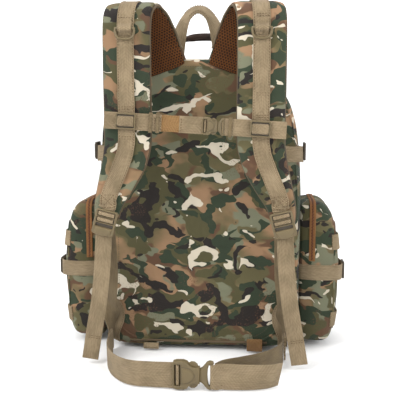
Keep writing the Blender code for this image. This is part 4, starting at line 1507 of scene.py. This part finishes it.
def buckle_socket(name, flat, scale, body, node, looks):
    """Two plates with side rails, a raised dome and a bar for the webbing."""
    sx, sy, deep = scale

    def drawn(points):
        return [(x * sx, y * sy) for x, y in points]

    half = [(-30, 16), (-28.5, 19.5), (-24, 20.8), (-14, 21), (-9, 19), (-5.5, 15), (-2, 12.4), (3, 11.4),
            (9, 12)]
    shell = half + mirrored(half)
    slot = rounded(8.6 * sx, 31 * sy, 1.4 * sx, (-22.6 * sx, 0))
    bm = bmesh.new()
    for z in (deep * 0.30, -deep * 0.30):
        plate_into(bm, lifted(flat, 0, 0, z), drawn(shell), [slot], deep * 0.40, 0.11 * deep)
    rail = [(-29, 16), (-27, 19.8), (-15, 19.8), (-12.5, 17), (-17, 15.5), (-27, 15.5)]
    for outline in (rail, mirrored(rail)):
        plate_into(bm, flat, drawn(outline), [], deep * 0.7, 0.06 * deep)
    plate_into(bm, flat, drawn([(-18, -17), (-10, -13), (-10, 13), (-18, 17)]), [], deep * 0.7, 0.06 * deep)
    body_faces = len(bm.faces)
    # The widest ring is dark: a painted shade outline round the dome, where a groove would be.
    for grow, rise in ((0.9, 0.445), (0, 0.52), (-1.6, 0.62)):
        dome = [(-16.5 - grow * 0.6, 11.5 + grow), (-9, 11 + grow), (-3.5, 8.6 + grow),
                (0.4 + grow * 0.5, 4.6 + grow * 0.4), (1.6 + grow, 0)]
        dome += mirrored(dome[:-1])
        plate_into(bm, lifted(flat, 0, 0, deep * rise), drawn(dome), [], 0.14 * deep, 0.055 * deep)
        if grow > 0:
            second_material(bm, body_faces)
    moulded(f"{name}_socket", bm, [looks["plastic"], looks["dark_and_shade_plastic"]], body, node)
    # A dark plate under the webbing slot is painted shade seen through the slot.
    outline = rounded(10 * sx, 32 * sy, 1.4 * sx, (-22.6 * sx, 0))
    bm = plate_into(bmesh.new(), lifted(flat, 0, 0, -deep * 0.42), outline, [], 0.1 * deep, 0.03 * deep)
    moulded(f"{name}_socket_slot_shade", bm, [looks["dark_and_shade_plastic"]], body)
    right, up, out = [Vector(flat.col[i][:3]) for i in range(3)]
    bar = flat.translation - right * 22.6 * sx
    line = [bar + right * x * sx + out * z * deep
            for x, z in ((-2.4, -0.30), (-1.9, 0.22), (0, 0.34), (1.9, 0.22), (2.4, -0.30))]
    wrap = stations(spline(line, 0.8 * MM), 29 * sy, 1.3 * MM, across=up)
    webbing(f"{name}_loop", wrap, looks["webbing"], body)


def buckle_plug(name, flat, scale, bodies, node, looks):
    """The plug with its webbing slot and middle tongue, and its two springy prongs."""
    sx, sy, deep = scale

    def drawn(points):
        return [(x * sx, y * sy) for x, y in points]

    bm = bmesh.new()
    edge = [(9.3, 9.8), (12.4, 11.2), (15.6, 15), (19, 19.4), (23.2, 21), (27.4, 19.9), (28.8, 17.2),
            (27.0, 15)]
    base = edge + mirrored(edge)
    gap = [(21.8, 14.8), (23.8, 14.8), (23.8, -14.8), (21.8, -14.8), (20.2, -9), (19.6, 0), (20.2, 9)]
    plate_into(bm, flat, drawn(base), [drawn(gap)], deep * 0.62, 0.11 * deep)
    plate_into(bm, flat, drawn([(-6, -3.4), (14, -4.4), (14, 4.4), (-6, 3.4)]), [], deep * 0.12, 0.03 * deep)
    moulded(f"{name}_plug_base", bm, [looks["plastic"]], bodies[0], node)

    prong = [(12.5, 8.4), (8, 11.0), (5.4, 16.6), (1.5, 19.4), (-3, 19.8), (-6.6, 17.6), (-8.4, 12.6),
             (0, 8.8), (8, 7.0), (12.5, 5.2)]
    for end, outline in (("top", prong), ("bottom", mirrored(prong))):
        bm = bmesh.new()
        plate_into(bm, flat, drawn(outline), [], deep * 0.17, 0.06 * deep)
        piece, body = f"{name}_prong_arm_{end}", f"{bodies[1]}_{end}"
        moulded(piece, bm, [looks["plastic"]], body, f"{name}_buckle_prong_{end}")


# ---------------------------------------------------------------- waist belt


def build_belt(looks):
    """Waist belt in its three lengths of webbing, which run to the buckle's bars."""
    fans = (("left", fan((-24 * MM, -112 * MM, 0), -X, -Y, 0.5, 89.5, 26)),
            ("back", fan((42 * MM, -112 * MM, 0), X, -Y, 0.5, 89.5, 26)),
            ("right", fan((85 * MM, -150 * MM, 0), -Y, X, -23.5, 28, 20)))
    left, back, front = [even_line(centre_line(f"waist_web_{name}", planes)[0], 5 * MM)
                         for name, planes in fans]
    low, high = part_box("waist_buckle_female")
    y = (low.y + high.y) / 2
    left.append(Vector((low.x + 1.0 * MM, (left[-1].y + y) / 2, left[-1].z)))
    left_band = stations(left, BELT_WIDTH, 2.0 * MM, across=Z, twist=[0, 0, 3, 5, 2, 0])
    tip = back[-1]
    back += [tip + Vector((-2.6, -1.1, 0)) * MM, tip + Vector((-5.4, -2.1, 0)) * MM]
    widths = [BELT_WIDTH] * (len(back) - 4) + [37.5 * MM, 36 * MM, 33.5 * MM, 31 * MM]
    back_band = stations(back, widths, 1.8 * MM, across=Z, twist=[0, 0, -2, -4, -3, 0])
    obj = strap("belt_left", left_band, looks["webbing"])
    bend(obj, "waist_web_left")
    obj = strap("belt_back", back_band, looks["webbing_shade"])
    bend(obj, "waist_web_back")
    bar = (low.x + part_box("waist_buckle_male")[1].x) / 2 + 25.6 * MM
    face = y - (high.y - low.y) * 0.31 - 1.3 * MM
    z = front[0].z
    start = [Vector((bar - 1.2 * MM, y - 0.6 * MM, z)), Vector((bar - 0.8 * MM, face + 0.4 * MM, z)),
             Vector((bar + 1.2 * MM, face, z)), Vector((bar + 5 * MM, face + 0.6 * MM, z))]
    rest = [p for p in front if p.x > bar + 12 * MM]
    front = spline(start + rest[:1], 1.5 * MM)[:-1] + rest
    widths = [33 * MM, 36 * MM] + [BELT_WIDTH] * 6
    front_band = stations(front, widths, 1.8 * MM, across=Z, twist=[0, 0, 0, 6, 16])
    webbing("belt_front", front_band, looks["webbing"], "belt_plug", "waist_web_right")
    s = min(front_band, key=lambda s: abs(s.point.x - bar - 13 * MM))
    if s.normal.y > 0:
        s = flipped(s)
    runs = box_stitch(s, 26 * MM, 16 * MM, 0.9 * MM)[:4]
    sew("belt_front_thread", runs, looks["thread"], "belt_plug")
    buckle("waist", X, Z, 60 * MM, 42 * MM, ("belt", "belt_plug", "waist_prong"), looks)


def build_wings(looks):
    """Doubled webbing tabs that join the belt to the bag's lower corners."""
    for side, _ in SIDES:
        low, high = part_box(f"wing_{side}")
        centre = (low + high) / 2
        line = between(Vector((centre.x, high.y + 3 * MM, centre.z)), Vector((centre.x, low.y, centre.z)), 10)
        widths = along([37 * MM, 38 * MM, 38 * MM, 37 * MM], 10)
        tab = [s._replace(width=w) for s, w in zip(stations(line, 1, 2.6 * MM, across=Z), widths)]
        webbing(f"wing_tab_{side}", tab, looks["webbing"], "bag", f"wing_{side}")


# ---------------------------------------------------------------- small straps and buckles


def standing_off(band, node, sign):
    """The band lifted off the cloth where it runs through its slider."""
    low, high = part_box(node)
    target = min(abs(low.x), abs(high.x)) - 0.4 * MM
    found = []
    for s in band:
        away = max(low.y - s.point.y, s.point.y - high.y, 0)
        share = max(0.0, 1 - away / (26 * MM))
        share = share * share * (3 - 2 * share)
        short = max(0.0, target - abs(s.point.x))
        near = min(1.0, max(0.0, (22 * MM - short) / (14 * MM)))
        rise = short * share * near * near * (3 - 2 * near)
        found.append(s._replace(point=s.point + X * sign * rise))
    return found


def build_side_strap(side, sign, bag_tree, looks):
    """Compression strap round the bag's side, and the cloth tab sewn over its end."""
    low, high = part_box(f"side_strap_{side}")
    z = (low.z + high.z) / 2
    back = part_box("main_shell")[0].y
    corner = [(137, -10), (143, -8), (150, -6), (157, -3), (163, 2), (168, 8), (171, 15)]
    path = [Vector((x * MM * sign, back + y * MM, z)) for x, y in corner]
    path += [Vector((0.2 * sign, low.y + (high.y - low.y) * i / 30, z)) for i in range(1, 31)]
    band = hugging(bag_tree, path, WEB_WIDTH, WEB_THICK, 1.0 * MM)
    band = standing_off(band, f"side_strap_buckle_{side}", sign)
    webbing(f"side_band_{side}", band, looks["webbing"], "bag", f"side_strap_{side}")
    hit, normal = bag_tree.ray_cast(Vector((sign * 143 * MM, back - 0.1, z + 22 * MM)), Y)[:2]
    outline = [(x * sign * MM, y * MM) for x, y in ((-9, -10), (10, -10), (5, 2), (-6, 13))]
    at = basis(hit + normal * 0.7 * MM, X, Z - normal * Z.dot(normal))
    bm = plate_into(bmesh.new(), at, outline[::sign], [], 1.6 * MM, 0.5 * MM)
    tab = add_object(f"side_tab_{side}", bm, [looks["camo"]], 35)
    place(tab, "bag", "camo_fabric", shift=(0.1, 0, 0.2))


def build_strap_sliders(side, sign, looks):
    """The upright sliders of the side strap and of the pocket strap."""
    for name in ("side", "pocket"):
        node = f"{name}_strap_buckle_{side}"
        low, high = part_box(node)
        at = basis((low + high) / 2, Y * sign, Z)
        bm = bmesh.new()
        thick, width, height = high - low
        holes = [rounded(width * 0.2, height * 0.74, 1.4 * MM, (x * width, 0)) for x in (-0.27, 0.02, 0.30)]
        plate_into(bm, at, rounded(width, height, 3 * MM), holes, thick * 0.7, 0.9 * MM)
        rail = lifted(at, width * 0.44, 0, thick * 0.16)
        plate_into(bm, rail, rounded(3.6 * MM, height * 0.8, 1.4 * MM), [], thick * 0.62, 0.9 * MM)
        piece, body = f"{name}_strap_buckle_plate_{side}", f"{name}_buckle_{side}"
        moulded(piece, bm, [looks["dark_and_shade_plastic"]], body, node)


def build_anchor_patch(side, sign, bag_tree, looks):
    """Leaf-shaped patch that holds the lower strap's end, with a stitched outline."""
    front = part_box("main_shell")[0].y - 0.1
    starts = [Vector((sign * (136 + 2 * math.sin(i * 0.3)) * MM, front, (12 + 3.6 * i) * MM))
              for i in range(21)]
    band = hugging(bag_tree, cast(bag_tree, starts)[0], WEB_WIDTH, WEB_THICK, 1.2 * MM)
    widths = along([16, 18, 22, 27, 31, 32, 29, 22, 10], len(band))
    band = [s._replace(width=w * MM) for s, w in zip(band, widths)]
    webbing(f"anchor_patch_{side}", band, looks["webbing"], "bag")
    runs = []
    for edge in (-1, 1):
        line = [s.point + s.side * edge * (s.width / 2 - 2 * MM) + s.normal * 1.0 * MM for s in band[1:-1]]
        runs.append((line, [s.normal for s in band[1:-1]]))
    sew(f"anchor_thread_{side}", runs, looks["thread"], "bag")


def build_bottom_loops(looks):
    """Webbing loops at the bag's lower edge."""
    for side, _ in SIDES:
        low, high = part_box(f"bottom_loop_{side}")
        x = (low.x + high.x) / 2
        if side == "left":
            high.z = low.z + 12 * MM
        profile = [(high.y + 1.5 * MM, high.z - 3 * MM), (high.y - 1.2 * MM, high.z - 1.5 * MM),
                   (low.y + 0.9 * MM, high.z - 6 * MM), (low.y + 0.9 * MM, low.z + 6 * MM),
                   (high.y - 1.2 * MM, low.z + 1.5 * MM), (high.y + 1.5 * MM, low.z + 3 * MM)]
        line = spline([(x, y, z) for y, z in profile], 1.5 * MM)
        look = looks["webbing"] if side == "left" else looks["loop"]
        band = stations(line, WEB_WIDTH, WEB_THICK, across=X)
        webbing(f"bottom_web_{side}", band, look, f"bottom_loop_{side}", f"bottom_loop_{side}")


def build_zip_pull(node, looks):
    """Zip slider with its bail and its tag, facing away from the harness; the body has the node's name."""
    at = basis(middle(node) + (Z * 10 - Y * 0.6) * MM, -X, Z)
    bm = bmesh.new()
    half = [(2.8, 5.2), (4.2, 4.4), (3.4, -4), (2, -5)]
    outline = half + [(-x, y) for x, y in reversed(half)]
    plate_into(bm, at, [(x * MM, y * MM) for x, y in outline], [], 2.6 * MM, 0.6 * MM)
    plate_into(bm, lifted(at, 0, 0, 1.6 * MM), rounded(2.4 * MM, 7 * MM, 1.1 * MM), [], 1.8 * MM, 0.5 * MM)
    tag, eye = rounded(6.4 * MM, 18 * MM, 2.4 * MM), rounded(3 * MM, 5 * MM, 1.3 * MM, (0, -4.6 * MM))
    plate_into(bm, lifted(at, 0, -13 * MM, 1.0 * MM), tag, [eye], 1.6 * MM, 0.5 * MM)
    place(add_object(f"{node}_metal", bm, [looks["metal"]], 35), node, "zip_metal", node)


def finish_inner_parts(looks):
    """The foam and the frame sheet keep their CAD shapes and get real surfaces."""
    for node, name in (("back_foam_pad", "foam"), ("frame_sheet", "sheet")):
        obj = frame["nodes"][node]
        for slot in obj.material_slots:
            slot.material = looks[name]


# ---------------------------------------------------------------- camera and light


def build_stage():
    """A pale floor that curves up into a pale wall all round."""
    flat, bend_radius, wall_top, turns = 4.2, 0.8, 5.0, 96
    profile = [(0.02, 0.0), (1.2, 0.0), (flat, 0.0)]
    for step in range(1, 11):
        angle = math.radians(9 * step)
        profile.append((flat + bend_radius * math.sin(angle), bend_radius * (1 - math.cos(angle))))
    profile.append((flat + bend_radius, wall_top))
    bm = bmesh.new()
    rows = []
    for i in range(turns):
        angle = 2 * math.pi * i / turns
        x, y = math.cos(angle), math.sin(angle)
        rows.append([bm.verts.new((r * x, r * y, z - 1 * MM)) for r, z in profile])
    for i, row in enumerate(rows):
        after = rows[(i + 1) % turns]
        for k in range(len(profile) - 1):
            bm.faces.new((row[k], after[k], after[k + 1], row[k + 1]))
    bm.faces.new([row[0] for row in rows])
    g = Graph("studio_paper", 0.9)
    place_now = g.node("NewGeometry", {}, {}).outputs["Position"]
    grain = g.noise(place_now, 3, 2)
    paper = g.paint(g.mix(grain, (0.90, 0.90, 0.90, 1), (0.94, 0.94, 0.94, 1)), 0.9)
    g.feed(g.shader.inputs["Emission Color"], (1.0, 1.0, 1.0, 1.0))
    g.feed(g.shader.inputs["Emission Strength"], g.step(g.parts(place_now)[2], 0.0, 0.9, 0.0, 0.35))
    add_object("studio_floor", bm, [paper], 60)


def area_light(name, at, target, size, power):
    data = bpy.data.lights.new(name, "AREA")
    data.shape = "RECTANGLE"
    data.size, data.size_y = size
    data.energy = power
    light = bpy.data.objects.new(name, data)
    light.location = at
    light.rotation_euler = (Vector(target) - Vector(at)).to_track_quat("-Z", "Y").to_euler()
    bpy.context.scene.collection.objects.link(light)


def build_camera():
    """The camera stands about 1.2 m from the harness panel, a little to its right and at shoulder height."""
    data = bpy.data.cameras.new("camera")
    data.lens = 66.0
    camera = bpy.data.objects.new("camera", data)
    camera.location = (0.100, -1.237, 0.406)
    target = Vector((0.0037, -0.090, 0.2487))
    camera.rotation_euler = (target - camera.location).to_track_quat("-Z", "Y").to_euler()
    bpy.context.scene.collection.objects.link(camera)
    bpy.context.scene.camera = camera


def build_lights():
    world = bpy.data.worlds.new("studio")
    world.use_nodes = True
    world.node_tree.nodes["Background"].inputs[0].default_value = (1, 1, 1, 1)
    world.node_tree.nodes["Background"].inputs[1].default_value = 0.8
    bpy.context.scene.world = world
    area_light("key", (-1.7, -2.0, 2.4), (0, 0, 0.25), (1.4, 1.4), 62)
    area_light("fill", (1.8, -1.8, 1.4), (0, 0, 0.25), (1.6, 1.6), 20)
    area_light("top", (0, 0.3, 2.6), (0, 0, 0.2), (2.2, 2.2), 34)
    bpy.context.scene.view_settings.view_transform = "Standard"


# ---------------------------------------------------------------- the whole backpack


LOOKS = make_materials()
BAG_TREE = build_bag(LOOKS)
build_pouch(LOOKS)
for SIDE, SIGN in SIDES:
    build_pocket(SIDE, SIGN, LOOKS)
    build_pad(SIDE, LOOKS)
    build_shoulder_webbing(SIDE, LOOKS)
    build_dring(SIDE, LOOKS)
    build_ladderlock(SIDE, LOOKS)
    build_tail(SIDE, SIGN, LOOKS)
    build_lower_strap(SIDE, SIGN, LOOKS)
    build_side_strap(SIDE, SIGN, BAG_TREE, LOOKS)
    build_strap_sliders(SIDE, SIGN, LOOKS)
    build_anchor_patch(SIDE, SIGN, BAG_TREE, LOOKS)
    build_zip_pull(f"pocket_zip_slider_{SIDE}", LOOKS)
build_zip_pull("main_zip_slider", LOOKS)
build_haul_handle(LOOKS)
build_grip_handle(LOOKS)
build_sternum(LOOKS)
build_belt(LOOKS)
build_wings(LOOKS)
build_bottom_loops(LOOKS)
finish_inner_parts(LOOKS)
build_stage()
build_camera()
build_lights()
